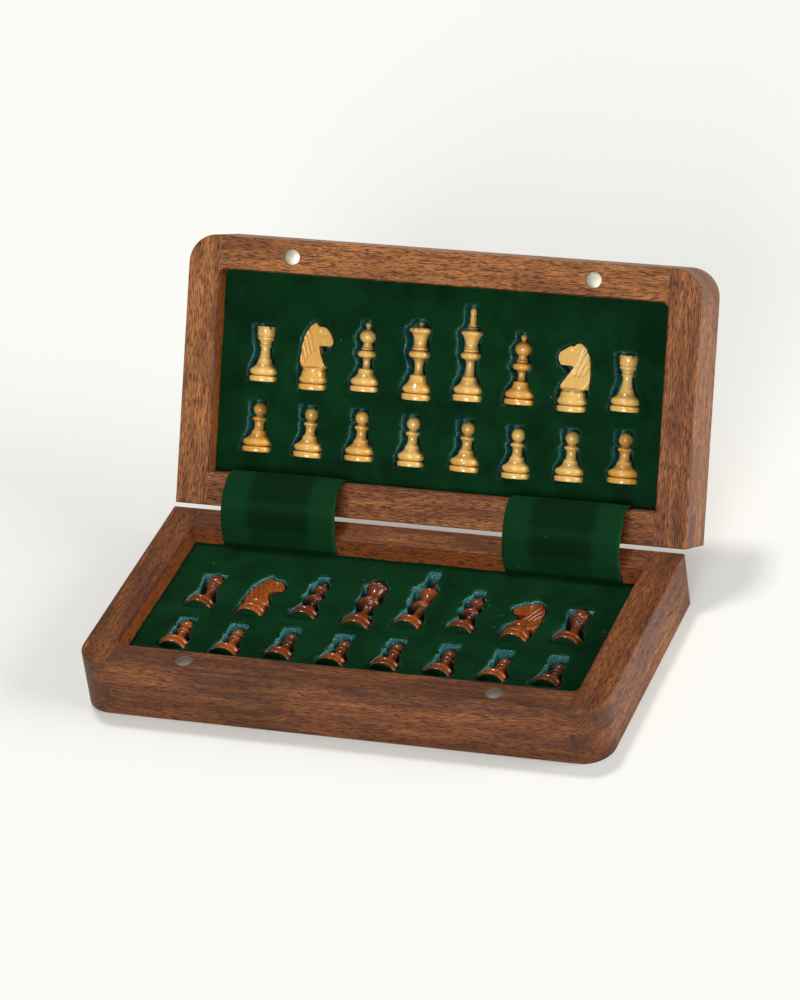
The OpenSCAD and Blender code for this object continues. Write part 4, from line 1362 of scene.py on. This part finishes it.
    def mark(self, mesh: bpy.types.Mesh) -> None:
        """Stores the piece's tone, its grain and how dark its grooves and necks are drawn, as stain with
        painted shade.
        """
        lot = 3.0 + 0.37 * self.shade + 0.011 * self.x + (0.5 if self.half is Half.LID else 0.0)
        plank, groove = [], []
        widest: dict[int, float] = {}
        for corner in mesh.vertices:
            key = round(corner.co.z / 0.5)
            widest[key] = max(widest.get(key, 0.0), math.hypot(corner.co.x, corner.co.y))
        for corner in mesh.vertices:
            x, y, z = corner.co
            plank += [z * MM + lot, x * MM + lot, y * MM]
            key = round(z / 0.5)
            near = max(widest.get(key + k, 0.0) for k in (-2, -1, 0, 1, 2))
            turned = self.kind is not Kind.KNIGHT or z < CARVINGS[1].low
            # Stain with painted shade: a point is darker the further it lies in from the widest turning
            # nearby.
            groove.append(min(1.0, max(0.0, near - math.hypot(x, y) - 0.5) / 1.6)
                          if turned and z > FELT + 0.2 else 0.0)
        store(mesh, "plank", "FLOAT_VECTOR", "POINT", plank)
        store(mesh, "groove", "FLOAT", "POINT", groove)
        store(mesh, "shade", "FLOAT", "POINT", [self.shade] * len(mesh.vertices))
        # Painted shade that grows up the piece, darkest on the knobs of bishops and queens.
        top = TURNINGS[self.kind].height
        knob = top - 2.2 if self.kind in (Kind.BISHOP, Kind.QUEEN) else 2 * top
        store(mesh, "head", "FLOAT", "POINT",
              [self.head_shade * min(1.0, max(0.0, v.co.z / top - 0.4) / 0.45) + (1.5 if v.co.z > knob else 0.0)
               for v in mesh.vertices])

    def build(self, sizes: CaseSizes, drop: float, wood: bpy.types.Material,
              felt: bpy.types.Material) -> None:
        """Builds the piece and its felt and lays it in its tray.

        Args:
            sizes: Sizes of the case.
            drop: How far its middle lies below the velvet.
            wood: The wood's finish.
            felt: The felt's finish.
        """
        place = self.place(sizes, drop)
        slot = "boxwood" if self.half is Half.LID else "dark_wood"
        shape = self.shape()
        self.mark(shape.data)
        Place(self.name, slot, place, (self.name,)).settle(shape, wood, crease=50.0)
        radius = TURNINGS[self.kind].foot - 0.12
        disc = lathe([(0.0, 0.02), (radius - 0.15, 0.0), (radius, 0.1), (radius + 0.03, 0.26),
                      (radius - 0.05, FELT - 0.02), (0.0, FELT - 0.02)], 48)
        for corner in disc.verts:
            if corner.co.length > radius - 0.3:
                corner.co *= 1 + 0.012 * noise.noise(corner.co * 1.7 + Vector((self.x, self.row, 0)))
        Place(self.name, "velvet", place).settle(as_object(self.name + "_felt", disc), felt)


def round_over(piece: bpy.types.Object, voxel: float, passes: int) -> bpy.types.Mesh:
    """Rounds a carved shape over as sanding does: it is remeshed finely and smoothed.

    Args:
        piece: The piece, which is used up.
        voxel: The fineness of the new mesh, in millimetres.
        passes: How many times it is smoothed.

    Returns:
        The new mesh.
    """
    step = piece.modifiers.new("fine", "REMESH")
    step.mode, step.voxel_size = "VOXEL", voxel
    evaluated = piece.evaluated_get(bpy.context.evaluated_depsgraph_get())
    mesh = bpy.data.meshes.new_from_object(evaluated)
    shape = bmesh.new()
    shape.from_mesh(mesh)
    for _ in range(passes):
        bmesh.ops.smooth_vert(shape, verts=shape.verts, factor=0.5, use_axis_x=True, use_axis_y=True,
                              use_axis_z=True)
    shape.to_mesh(mesh)
    shape.free()
    bpy.data.meshes.remove(piece.data)
    return mesh


@dataclass(frozen=True)
class Row:
    """How the eight pieces of a row happen to lie: each one's shift from its place in the row, in
    millimetres, how far its head hangs down and how far it is turned to the right, in degrees."""

    half: Half
    pawns: bool
    shift: tuple[Point2, ...]
    lean: tuple[float, ...]
    turn: tuple[float, ...]
    # How much painted shade darkens the upper part of each piece.
    head_shade: tuple[float, ...]
    girth: tuple[float, ...]


ROWS = (
    Row(Half.BASE, pawns=False,
        shift=((0, 1.2), (0.4, -0.6), (0.2, 0.8), (1.1, -1.6), (-0.5, 1.2), (-0.6, 1.7), (0, 0), (-0.8, 1.2)),
        lean=(2, 0, 1, -2, 3.5, 1, 0, 0),
        turn=(1, 0, 0.5, 0, 1.5, 0.5, 0, 0),
        head_shade=(0.5,) * 8,
        girth=(1, 1, 0.98, 1.02, 1, 0.95, 1, 1)),
    Row(Half.BASE, pawns=True,
        shift=((0, 0.3), (0, -0.6), (0, 0), (0.2, -0.3), (0, 0), (0, 0), (0, 0), (0, 0)),
        lean=(-1, 2, 2, 4, 0, 3, 6, 6),
        turn=(0, 0, 1, 1, 1, 0, 1, 1),
        head_shade=(0.5,) * 8,
        girth=(1.02, 0.92, 1, 0.94, 1, 0.98, 1, 1)),
    Row(Half.LID, pawns=False,
        shift=((0.4, 0), (0, -1.4), (0.1, -0.6), (0.3, -1.9), (0, -0.9), (-0.2, -0.6), (-0.3, -1.4),
               (-0.4, 0)),
        lean=(1, 0, 1, 0, 1, 1, 0, 1),
        turn=(0, 0, 0, 0.5, 0, 0, 0, 0.5),
        head_shade=(0.2, 0, 0.9, 0.2, 0.4, 0.5, 0, 0.4),
        girth=(0.95, 0.97, 0.985, 1, 1, 1.03, 1, 0.99)),
    Row(Half.LID, pawns=True,
        shift=((-0.3, -1.3), (-0.3, -1.6), (-0.2, -1.3), (-0.4, -1.8), (0.4, -1.8), (0, -2.5),
               (0.3, -2), (0.4, -1)),
        lean=(2, 1, 0, 2, 1, 0, 2, 1),
        turn=(0, 1, 0, 0, 1, 0, 0, 0),
        head_shade=(1, 1.2, 0.4, 1.3, 0.5, 0.7, 0.5, 1.4),
        girth=(1.03, 1.02, 1.02, 0.9, 1.03, 0.96, 1, 1.03)),
)


@dataclass
class ChessSet:
    """The thirty-two pieces in their rows."""

    sizes: CaseSizes
    seat_margin: float = 14.455
    pawn_margin: float = 8.37
    row_gap: float = 22.5
    drop: float = 2.7

    def seat_x(self, index: int) -> float:
        """Where a column of seats lies along the box."""
        pitch = 2 * (self.sizes.pocket_x - self.seat_margin) / 7
        return (index - 3.5) * pitch - 0.2

    def pieces(self) -> list[Chessman]:
        """All the pieces, with their places and tones."""
        found = []
        for row in ROWS:
            word = "dark" if row.half is Half.BASE else "light"
            start = self.sizes.rail + self.pawn_margin + (0 if row.pawns else self.row_gap)
            for i, kind in enumerate([Kind.PAWN] * 8 if row.pawns else OFFICERS):
                name = f"{word}_pawn_{i + 1}" if row.pawns else f"{word}_{OFFICER_NAMES[i]}"
                shade = 0.5 + 0.9 * noise.noise(Vector((i * 1.3, row.half.free * 4.0 + row.pawns * 3.3, 0.5)))
                facing = -1 if kind is Kind.KNIGHT and i > 3 else 1
                along, across = row.shift[i]
                found.append(Chessman(name, kind, facing, row.half, self.seat_x(i) + along, start + across,
                                      row.lean[i], row.turn[i], shade, row.head_shade[i], row.girth[i]))
        return found


# Trays


@dataclass
class Tray:
    """The die cut tray of a half: velvet over foam, with a cavity for each piece."""

    sizes: CaseSizes
    chess: ChessSet
    foot_gap: float = 0.42
    head_gap: float = 1.1
    floor_gap: float = 0.5
    lip: float = 0.14
    left_gap: float = 0.08
    heel_gap: float = 0.4
    cell: float = 0.8
    wall_gap: float = 0.06
    swell: float = 0.16
    crinkle: float = 0.05
    curl: float = 0.35

    def side(self, kind: Kind) -> list[Point2]:
        """The right half of the outline of a turned piece's cavity, from the foot to the tip."""
        t, gap = TURNINGS[kind], self.head_gap
        points = [(t.foot + self.foot_gap, -self.foot_gap), (t.foot + self.foot_gap, t.foot_top * 0.8),
                  (t.neck[0] + gap + 0.9, t.neck[1] - 1.2), (t.neck[0] + gap + 0.6, t.neck[1])]
        if kind is Kind.ROOK:
            points.append((t.collar[0] + gap, t.collar[1]))
        else:
            points += [(t.collar[0] + gap, t.collar[1] - 0.3), (t.collar[0] + gap, t.collar[1] + 0.4),
                       (t.head[0] + gap - 0.7, (t.collar[1] + t.head[1]) / 2 - 0.3),
                       (t.head[0] + gap, t.head[1] - 0.6), (t.head[0] + gap, t.head[1] + 0.6)]
        if kind not in (Kind.PAWN, Kind.ROOK):
            points.append((t.tip[0], t.head[1] + 2.7))
        return points + [(t.tip[0], t.height + t.tip[1])]

    def outline(self, piece: Chessman) -> list[Point2]:
        """The closed outline of a piece's cavity in the half's plan, counterclockwise.

        Args:
            piece: The piece that lies in it.

        Returns:
            The points, rounded as a die cuts them and a little ragged.
        """
        if piece.kind is Kind.KNIGHT:
            carving = CARVINGS[piece.facing]
            head = grown([p for i, p in enumerate(carving.outline) if i not in carving.notch],
                         self.foot_gap + 0.3)
            side, low = TURNINGS[Kind.KNIGHT].foot + self.foot_gap, carving.low
            points = ([(-side, -self.foot_gap), (side, -self.foot_gap), (side, low)] + head[1:-1]
                      + [(min(-side, carving.outline[-1][0] - self.foot_gap), low - self.foot_gap)])
            points = [(piece.facing * x, y) for x, y in points]
            if piece.facing < 0:
                points.reverse()
        else:
            half = self.side(piece.kind)
            points = half + [(-x, y) for x, y in reversed(half)]
        points = [(x - self.left_gap, y + (self.heel_gap if y < 0 else 0.0)) for x, y in points]
        for share in (0.12, 0.25, 0.25):
            points = corner_cut(points, share)
        points = resampled(points, 0.5)
        ragged = []
        for (x, y), (nx, ny) in zip(points, normals(points)):
            push = 0.17 * noise.noise(Vector((x * 1.1 + piece.x, y * 1.1 + piece.row, piece.half.free * 5.0)))
            ragged.append((piece.x + x + nx * push, piece.row - self.sizes.half_depth + y + ny * push))
        return ragged

    def die(self, outline: Sequence[Point2], levels: Sequence[Point2], rough: float) -> bmesh.types.BMesh:
        """A cutter for one cavity.

        Args:
            outline: The cavity's outline.
            levels: Heights, with how far the outline is drawn out at each.
            rough: How ragged the walls are between the heights.

        Returns:
            The cutter.
        """
        out = normals(outline)
        rings = []
        for z, reach in levels:
            ring = []
            for (x, y), (nx, ny) in zip(outline, out):
                push = reach + rough * noise.noise(Vector((x * 1.6, y * 1.6, z * 1.4)))
                ring.append((x + nx * push, y + ny * push, z))
            rings.append(ring)
        return stack(rings)

    def skin(self) -> bmesh.types.BMesh:
        """The velvet before its cavities are cut: a fine grid with a plain back."""
        s = self.sizes
        shape = bmesh.new()
        columns = round(2 * s.pocket_x / self.cell)
        rows = round(2 * s.pocket_y / self.cell)
        bmesh.ops.create_grid(shape, x_segments=columns, y_segments=rows, size=1.0)
        bmesh.ops.scale(shape, vec=(s.pocket_x + 0.5, s.pocket_y + 0.5, 1), verts=shape.verts)
        bmesh.ops.translate(shape, vec=(0, 0, s.velvet_top), verts=shape.verts)
        rim = [e for e in shape.edges if e.is_boundary]
        made = bmesh.ops.extrude_edge_only(shape, edges=rim)
        lower = [g for g in made["geom"] if isinstance(g, bmesh.types.BMVert)]
        bmesh.ops.translate(shape, vec=(0, 0, s.foam_top - s.velvet_top), verts=lower)
        bmesh.ops.holes_fill(shape, edges=[e for e in shape.edges if e.is_boundary], sides=0)
        bmesh.ops.recalc_face_normals(shape, faces=shape.faces)
        return shape

    def build(self, half: Half, velvet: bpy.types.Material, foam: bpy.types.Material) -> None:
        """Builds the velvet and the foam of one half.

        Args:
            half: Which half.
            velvet: The velvet's finish.
            foam: The foam's finish.
        """
        s, word = self.sizes, half.value
        pieces = [p for p in self.chess.pieces() if p.half is half]
        outlines = [self.outline(p) for p in pieces]
        room = round_plan(s.pocket_x, s.pocket_y, half.free, s.pocket_corner, self.wall_gap)
        cover = as_object(f"{word}_velvet_skin", self.skin())
        keep = stack([[(x, y, z) for x, y in room] for z in (s.foam_top - 1, s.velvet_top + 1)])
        work(cover, keep, Cut.KEEP)
        tray = as_object(f"{word}_foam_body", stack([[(x, y, z) for x, y in room]
                                                     for z in (s.board + 0.02, s.foam_top)]))
        floor = s.velvet_top - self.chess.drop - TURNINGS[Kind.KING].foot - self.floor_gap
        top, under = s.velvet_top, s.foam_top
        lip_levels = [(under - 1, 0.0), (under + 0.1, 0.0), (top - 0.22, 0.08), (top - 0.08, self.lip * 0.5),
                      (top, self.lip), (top + 1, self.lip + 0.4)]
        wall = [(floor + (top + 1 - floor) * k / 6, 0.02) for k in range(7)]
        skin_dies, foam_dies = bmesh.new(), bmesh.new()
        for outline in outlines:
            add_shape(skin_dies, self.die(outline, lip_levels, 0.0), Matrix.Identity(4))
            add_shape(foam_dies, self.die(outline, wall, 0.25), Matrix.Identity(4))
        work(cover, skin_dies, Cut.TAKE)
        work(tray, foam_dies, Cut.TAKE)
        self.settle_skin(cover.data, outlines, half)
        Place(word, "velvet", s.matrix(half), (f"{word}_velvet",)).settle(cover, velvet, crease=60.0)
        Place(word, "foam", s.matrix(half), (f"{word}_foam_tray",)).settle(tray, foam, crease=50.0)

    def settle_skin(self, mesh: bpy.types.Mesh, outlines: Sequence[Sequence[Point2]], half: Half) -> None:
        """Lets the velvet lie a little unevenly and marks where its edges are worn.

        Args:
            mesh: The cut velvet, in the half's frame.
            outlines: The cavities' outlines.
            half: Which half.
        """
        s = self.sizes
        count = sum(len(o) for o in outlines)
        tree = kdtree.KDTree(count)
        for number, (x, y) in enumerate(p for o in outlines for p in o):
            tree.insert((x, y, 0.0), number)
        tree.balance()
        wear_and_highlight = []
        for corner in mesh.vertices:
            x, y, z = corner.co
            distance = tree.find((x, y, 0.0))[2]
            wall = min(s.pocket_x - abs(x), s.pocket_y - abs(y))
            if z > s.velvet_top - 0.45:
                wide = noise.noise(Vector((x / 17, y / 17, half.free * 3.0)))
                fine = noise.noise(Vector((x / 4.5, y / 4.5, half.free * 9.0)))
                bent = math.exp(-wall / 2.0) * noise.noise(Vector((x / 9, y / 9, half.free * 6.0)))
                corner.co.z += self.swell * wide + self.crinkle * fine + self.curl * bent
            heavy = max(0.0, 0.3 + 1.3 * noise.noise(Vector((x / 3.0, y / 3.0, half.free * 7.0))))
            wear_and_highlight.append(min(1.0, heavy) * math.exp(-max(0.0, distance - 0.1) / 0.16))
        store(mesh, "wear_and_highlight", "FLOAT", "POINT", wear_and_highlight)


def grown(points: Sequence[Point2], distance: float) -> list[Point2]:
    """An open outline, drawn counterclockwise, moved outwards by a distance."""
    made = []
    for i, (x, y) in enumerate(points):
        before, after = points[max(0, i - 1)], points[min(len(points) - 1, i + 1)]
        along = Vector((after[0] - before[0], after[1] - before[1])).normalized()
        made.append((x + distance * along.y, y - distance * along.x))
    return made


def corner_cut(points: Sequence[Point2], share: float) -> list[Point2]:
    """A closed outline with each corner cut at a share of its sides."""
    made = []
    for (ax, ay), (bx, by) in zip(points, list(points[1:]) + [points[0]]):
        made.append((ax + (bx - ax) * share, ay + (by - ay) * share))
        made.append((bx + (ax - bx) * share, by + (ay - by) * share))
    return made


def resampled(points: Sequence[Point2], step: float) -> list[Point2]:
    """A closed outline with points at even steps."""
    line = [Vector(p) for p in points] + [Vector(points[0])]
    lengths = [(b - a).length for a, b in zip(line, line[1:])]
    count = max(12, round(sum(lengths) / step))
    made, index, passed = [], 0, 0.0
    for k in range(count):
        want = sum(lengths) * k / count
        while passed + lengths[index] < want:
            passed += lengths[index]
            index += 1
        spot = line[index].lerp(line[index + 1], (want - passed) / max(lengths[index], 1e-9))
        made.append((spot.x, spot.y))
    return made


def normals(points: Sequence[Point2]) -> list[Point2]:
    """The outward direction at each point of a closed counterclockwise outline."""
    made = []
    for i in range(len(points)):
        before, after = points[i - 1], points[(i + 1) % len(points)]
        along = Vector((after[0] - before[0], after[1] - before[1])).normalized()
        made.append((along.y, -along.x))
    return made


# Straps


@dataclass
class Strap:
    """A wide velvet ribbon that crosses a hinge, from the base's tray to the lid's."""

    name: str
    middle_base: float
    middle_lid: float
    sizes: CaseSizes
    width: float = 40.4
    thickness: float = 0.6
    across: int = 60
    along: int = 56
    path: tuple[Point2, ...] = ((33.55, 14.45), (33.4, 18.0), (33.75, 21.4), (35.2, 25.0), (37.3, 28.0),
                                (40.0, 30.3), (43.2, 31.8), (46.7, 32.7), (50.2, 32.5), (53.6, 30.9),
                                (57.3, 28.25))

    def spot(self, share: float) -> Vector:
        """A point of the strap's side view, from 0 at the base's end to 1 at the lid's."""
        points = [Vector((0.0, *p)) for p in self.path]
        place = share * (len(points) - 1)
        i = min(int(place), len(points) - 2)
        a, b = points[max(0, i - 1)], points[i]
        c, d = points[i + 1], points[min(len(points) - 1, i + 2)]
        t = place - i
        return 0.5 * (2 * b + (c - a) * t + (2 * a - 5 * b + 4 * c - d) * t * t
                      + (3 * b - a - 3 * c + d) * t ** 3)

    def build(self, velvet: bpy.types.Material) -> None:
        """Args:
            velvet: Its finish.
        """
        shape = bmesh.new()
        bmesh.ops.create_grid(shape, x_segments=self.across, y_segments=self.along, size=0.5)
        uv = shape.loops.layers.uv.new("strap")
        for face in shape.faces:
            for loop in face.loops:
                loop[uv].uv = (loop.vert.co.x + 0.5, loop.vert.co.y + 0.5)
        pressed = []
        for corner in shape.verts:
            u, v = corner.co.x + 0.5, corner.co.y + 0.5
            ahead = (self.spot(min(1, v + 0.01)) - self.spot(max(0, v - 0.01))).normalized()
            out = Vector((0.0, -ahead.z, ahead.y))
            middle = self.middle_base + (self.middle_lid - self.middle_base) * v
            edge = abs(2 * u - 1)
            wave = noise.noise(Vector((u * 2.3, v * 2.1, self.middle_base)))
            lift = 0.45 * wave * math.sin(math.pi * v) - 0.5 * edge ** 6 * math.sin(math.pi * v)
            wander = 0.35 * noise.noise(Vector((round(u) * 7.0, v * 3.0, self.middle_base))) * edge
            spot = self.spot(v) + out * lift
            corner.co = (middle + (u - 0.5) * self.width + wander, spot.y, spot.z)
            side = max(0.0, min(1.0, (edge - 0.48) / 0.12))
            crown = max(0.0, min(1.0, 1 - abs(v - 0.42) / 0.07)) + max(0.0, min(1.0, (0.24 - v) / 0.05))
            pressed.append(min(1.0, 0.25 + 0.6 * side + 0.4 * crown) if 0.05 < v < 0.9 else 0.2)
        bmesh.ops.recalc_face_normals(shape, faces=shape.faces)
        ribbon = as_object(self.name, shape)
        mesh = ribbon.data
        wear_and_highlight = []
        for corner in mesh.vertices:
            side = abs(corner.co.x - (self.middle_base + self.middle_lid) / 2) / (self.width / 2)
            wear_and_highlight.append(0.6 * max(0.0, min(1.0, (side - 0.975) / 0.025)))
        store(mesh, "wear_and_highlight", "FLOAT", "POINT", wear_and_highlight)
        store(mesh, "pressed", "FLOAT", "POINT", pressed)
        mesh.materials.append(velvet)
        mesh.polygons.foreach_set("use_smooth", [True] * len(mesh.polygons))
        mesh.transform(Matrix.Scale(MM, 4))
        thick = ribbon.modifiers.new("thickness", "SOLIDIFY")
        thick.thickness, thick.offset = self.thickness * MM, 0.0
        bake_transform(ribbon)


# The studio


@dataclass(frozen=True)
class Studio:
    """The floor, lamps and camera. Places are in metres and angles in degrees."""

    azimuth: float = 24.04
    elevation: float = 32.82
    roll: float = -8.335
    lens: float = 188.44
    target: tuple[float, float, float] = (0.01289, -0.00023, 0.06305)
    distance: float = 1.6676
    room: float = 0.2
    paper: Colour = tint(247, 247, 242)
    glow_share: float = 0.2

    def camera(self) -> None:
        """Makes the camera that sees the box as the photograph does."""
        a, e, r = (math.radians(x) for x in (self.azimuth, self.elevation, self.roll))
        back = Vector((math.sin(a) * math.cos(e), -math.cos(a) * math.cos(e), math.sin(e)))
        right = Vector((math.cos(a), math.sin(a), 0.0))
        up = back.cross(right)
        turned = (math.cos(r) * right + math.sin(r) * up, -math.sin(r) * right + math.cos(r) * up, back)
        data = bpy.data.cameras.new("camera")
        data.lens, data.sensor_width, data.clip_start, data.clip_end = self.lens, 36.0, 0.05, 50.0
        camera = bpy.data.objects.new("camera", data)
        bpy.context.scene.collection.objects.link(camera)
        camera.matrix_world = (Matrix.Translation(Vector(self.target) + back * self.distance)
                               @ Matrix(turned).transposed().to_4x4())
        bpy.context.scene.camera = camera

    def sun(self, name: str, towards: Sequence[float], spread: float, strength: float) -> None:
        """Adds a far lamp, which lights the whole floor evenly.

        Args:
            name: Its name.
            towards: The direction that it is seen in from the box.
            spread: How wide it looks, in degrees.
            strength: Its light on a surface that faces it.
        """
        data = bpy.data.lights.new(name, "SUN")
        data.angle, data.energy = math.radians(spread), strength
        lamp = bpy.data.objects.new(name, data)
        bpy.context.scene.collection.objects.link(lamp)
        lamp.location = Vector(towards).normalized() * 2
        lamp.rotation_euler = Vector(towards).to_track_quat("Z", "Y").to_euler()

    def floor(self) -> None:
        """Lays a pale floor that keeps the box's shadow."""
        shape = bmesh.new()
        bmesh.ops.create_grid(shape, x_segments=8, y_segments=8, size=8.0)
        sheet = as_object("floor", shape)
        sheet.location.z = -0.0002
        material = bpy.data.materials.new("floor")
        material.use_nodes = True
        graph = Graph(material.node_tree)
        shader = material.node_tree.nodes["Principled BSDF"]
        shader.inputs["Base Color"].default_value = self.paper
        shader.inputs["Roughness"].default_value = 0.9
        shader.inputs["Specular IOR Level"].default_value = 0.0
        seen = graph.node("LightPath")
        direct = graph.math("MAXIMUM", seen.outputs["Is Camera Ray"],
                            graph.math("MAXIMUM", seen.outputs["Is Glossy Ray"],
                                       seen.outputs["Is Transmission Ray"]))
        glow = graph.node("Emission", {"Color": self.paper, "Strength": 1.0})
        mixed = graph.node("MixShader", {0: graph.math("MULTIPLY", direct, self.glow_share),
                                         1: shader.outputs[0], 2: glow.outputs[0]})
        output = next(n for n in material.node_tree.nodes if n.type == "OUTPUT_MATERIAL")
        material.node_tree.links.new(mixed.outputs[0], output.inputs["Surface"])
        sheet.data.materials.append(material)

    def sky(self) -> None:
        """Gives the room its even light."""
        world = bpy.data.worlds.new("room")
        world.use_nodes = True
        shade = world.node_tree.nodes["Background"]
        shade.inputs["Color"].default_value = (1.0, 1.0, 0.98, 1.0)
        shade.inputs["Strength"].default_value = self.room
        bpy.context.scene.world = world

    def build(self) -> None:
        """Makes the floor, the lamps and the camera."""
        self.floor()
        self.sky()
        self.sun("front", (0.1, -0.93, 0.34), spread=24.0, strength=1.8)
        self.sun("top", (-0.2, 0.3, 0.93), spread=8.0, strength=1.3)
        self.sun("right", (0.95, 0.05, 0.3), spread=44.0, strength=2.9)
        self.camera()


def dress(node: bpy.types.Object, material: bpy.types.Material) -> None:
    """Gives a CAD node that stays its one material."""
    node.data.materials.clear()
    node.data.materials.append(material)


def dress_frame(frame: dict, sizes: CaseSizes, finishes: Finishes) -> None:
    """Gives the CAD nodes that stay their materials.

    Args:
        sizes: Sizes of the case.
        finishes: The shared groups.
    """
    brass = Metal("satin brass", tint(205, 168, 90), tint(150, 112, 52), 0.22).build(finishes)
    steel = Metal("plain steel", tint(150, 152, 155), tint(105, 106, 108), 0.3).build(finishes)
    plywood = InlayWood("plain board", tint(214, 178, 128), tint(178, 138, 90), 1.0, 0.0,
                        (0.5, 0.5, 0.0)).build(finishes)
    square = 2 * sizes.pocket_x / 8 * MM
    nodes = frame["nodes"]
    for word in ("hinge_base_leaves", "hinge_lid_leaves", "hinge_base_screws", "hinge_lid_screws"):
        dress(nodes[word], brass)
    for word in ("hinge_pins", "base_steel_sheet", "lid_steel_sheet"):
        dress(nodes[word], steel)
    for half in Half:
        front = (sizes.rail - sizes.half_depth) if half is Half.BASE else (sizes.lip - sizes.half_depth)
        corner = sizes.matrix(half) @ Vector((-sizes.pocket_x * MM, front * MM, -0.001))
        tilt = 0.0 if half is Half.BASE else math.radians(180 - sizes.opened)
        for word, pale, deep in (("light", tint(226, 190, 130), tint(196, 150, 90)),
                                 ("dark", tint(122, 66, 40), tint(70, 34, 22))):
            inlay = InlayWood(f"{half.value} {word} veneer", pale, deep, square, tilt, tuple(corner))
            dress(nodes[f"{half.value}_{word}_squares"], inlay.build(finishes))
        dress(nodes[f"{half.value}_board_panel"], plywood)


def main() -> None:
    """Builds the box round its frame."""
    logging.basicConfig(level=logging.INFO, format="%(message)s")
    bpy.context.scene.view_settings.view_transform = "Standard"
    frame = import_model()
    sizes = CaseSizes.from_frame(frame)
    finishes = Finishes()
    dress_frame(frame, sizes, finishes)

    # Of the case wood's colours, the dark one for the rim's inner edge (66, 22, 4) is a painted shade line,
    # and the pale one for the outer edges (200, 160, 122) is a painted highlight with some wear.
    case_wood = OpenGrainWood(
        "case wood", light=tint(190, 122, 62), middle=tint(138, 78, 34), dark=tint(84, 40, 12),
        pore=tint(46, 20, 6), rim_shade=tint(66, 22, 4), inner=tint(146, 72, 18), wear_and_highlight=tint(200, 160, 122),
        dust=tint(176, 160, 142)).build(finishes)
    # One nickel in two copies: painted lit for the lid's magnets, which catch a bright reflection, and
    # painted shaded for the base's.
    lit_nickel = Metal("bright nickel", tint(222, 216, 198), tint(176, 170, 154), 0.42).build(finishes)
    shaded_nickel = Metal("dull nickel", tint(122, 114, 104), tint(98, 90, 80), 0.5).build(finishes)
    glue = CutFoam("dry glue", tint(136, 112, 84), tint(190, 170, 138), 0.0004, 0.0).build(finishes)
    for half in Half:
        case = CaseHalf(half, sizes)
        case.build(case_wood)
        case.magnets(shaded_nickel if half is Half.BASE else lit_nickel, glue)

    velvet = Pile("tray velvet", ground=tint(4, 31, 14), lifted=tint(13, 56, 28), pressed=tint(17, 60, 31),
                  wear_and_highlight=tint(84, 130, 106), lint=tint(120, 160, 140), sheen=tint(40, 110, 60)).build(finishes)
    ribbon = Pile("strap velvet", ground=tint(3, 20, 9), lifted=tint(6, 30, 15), pressed=tint(14, 54, 28),
                  wear_and_highlight=tint(44, 100, 60), lint=tint(60, 110, 84), sheen=tint(40, 120, 60)).build(finishes)
    foam = CutFoam("cut foam", tint(40, 120, 118), tint(228, 246, 240), 0.00045, 0.08).build(finishes)
    chess = ChessSet(sizes)
    tray = Tray(sizes, chess)
    for half in Half:
        tray.build(half, velvet, foam)

    # In each turned wood, the colour for heads and knobs is a painted shade, and the groove colour a stain
    # with painted shade.
    boxwood = LacqueredWood("boxwood", pale=tint(232, 188, 102), deep=tint(216, 156, 64),
                            groove=tint(140, 84, 22), vein=tint(190, 130, 48), head_shade=tint(128, 92, 40),
                            vein_share=0.25, coat=1.0).build(finishes)
    dark_wood = LacqueredWood("dark stained wood", pale=tint(170, 84, 22), deep=tint(108, 44, 8),
                              groove=tint(34, 12, 6), vein=tint(34, 14, 8), head_shade=tint(60, 26, 10),
                              vein_share=0.95, coat=0.6).build(finishes)
    felt = CutFoam("felt", tint(10, 50, 24), tint(50, 110, 70), 0.0003, 0.02).build(finishes)
    for piece in chess.pieces():
        piece.build(sizes, chess.drop, boxwood if piece.half is Half.LID else dark_wood, felt)

    Strap("left_strap", -47.5, -50.0, sizes).build(ribbon)
    Strap("right_strap", 51.75, 49.4, sizes).build(ribbon)
    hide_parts("straps")
    Studio().build()


if __name__ == "__main__":
    main()
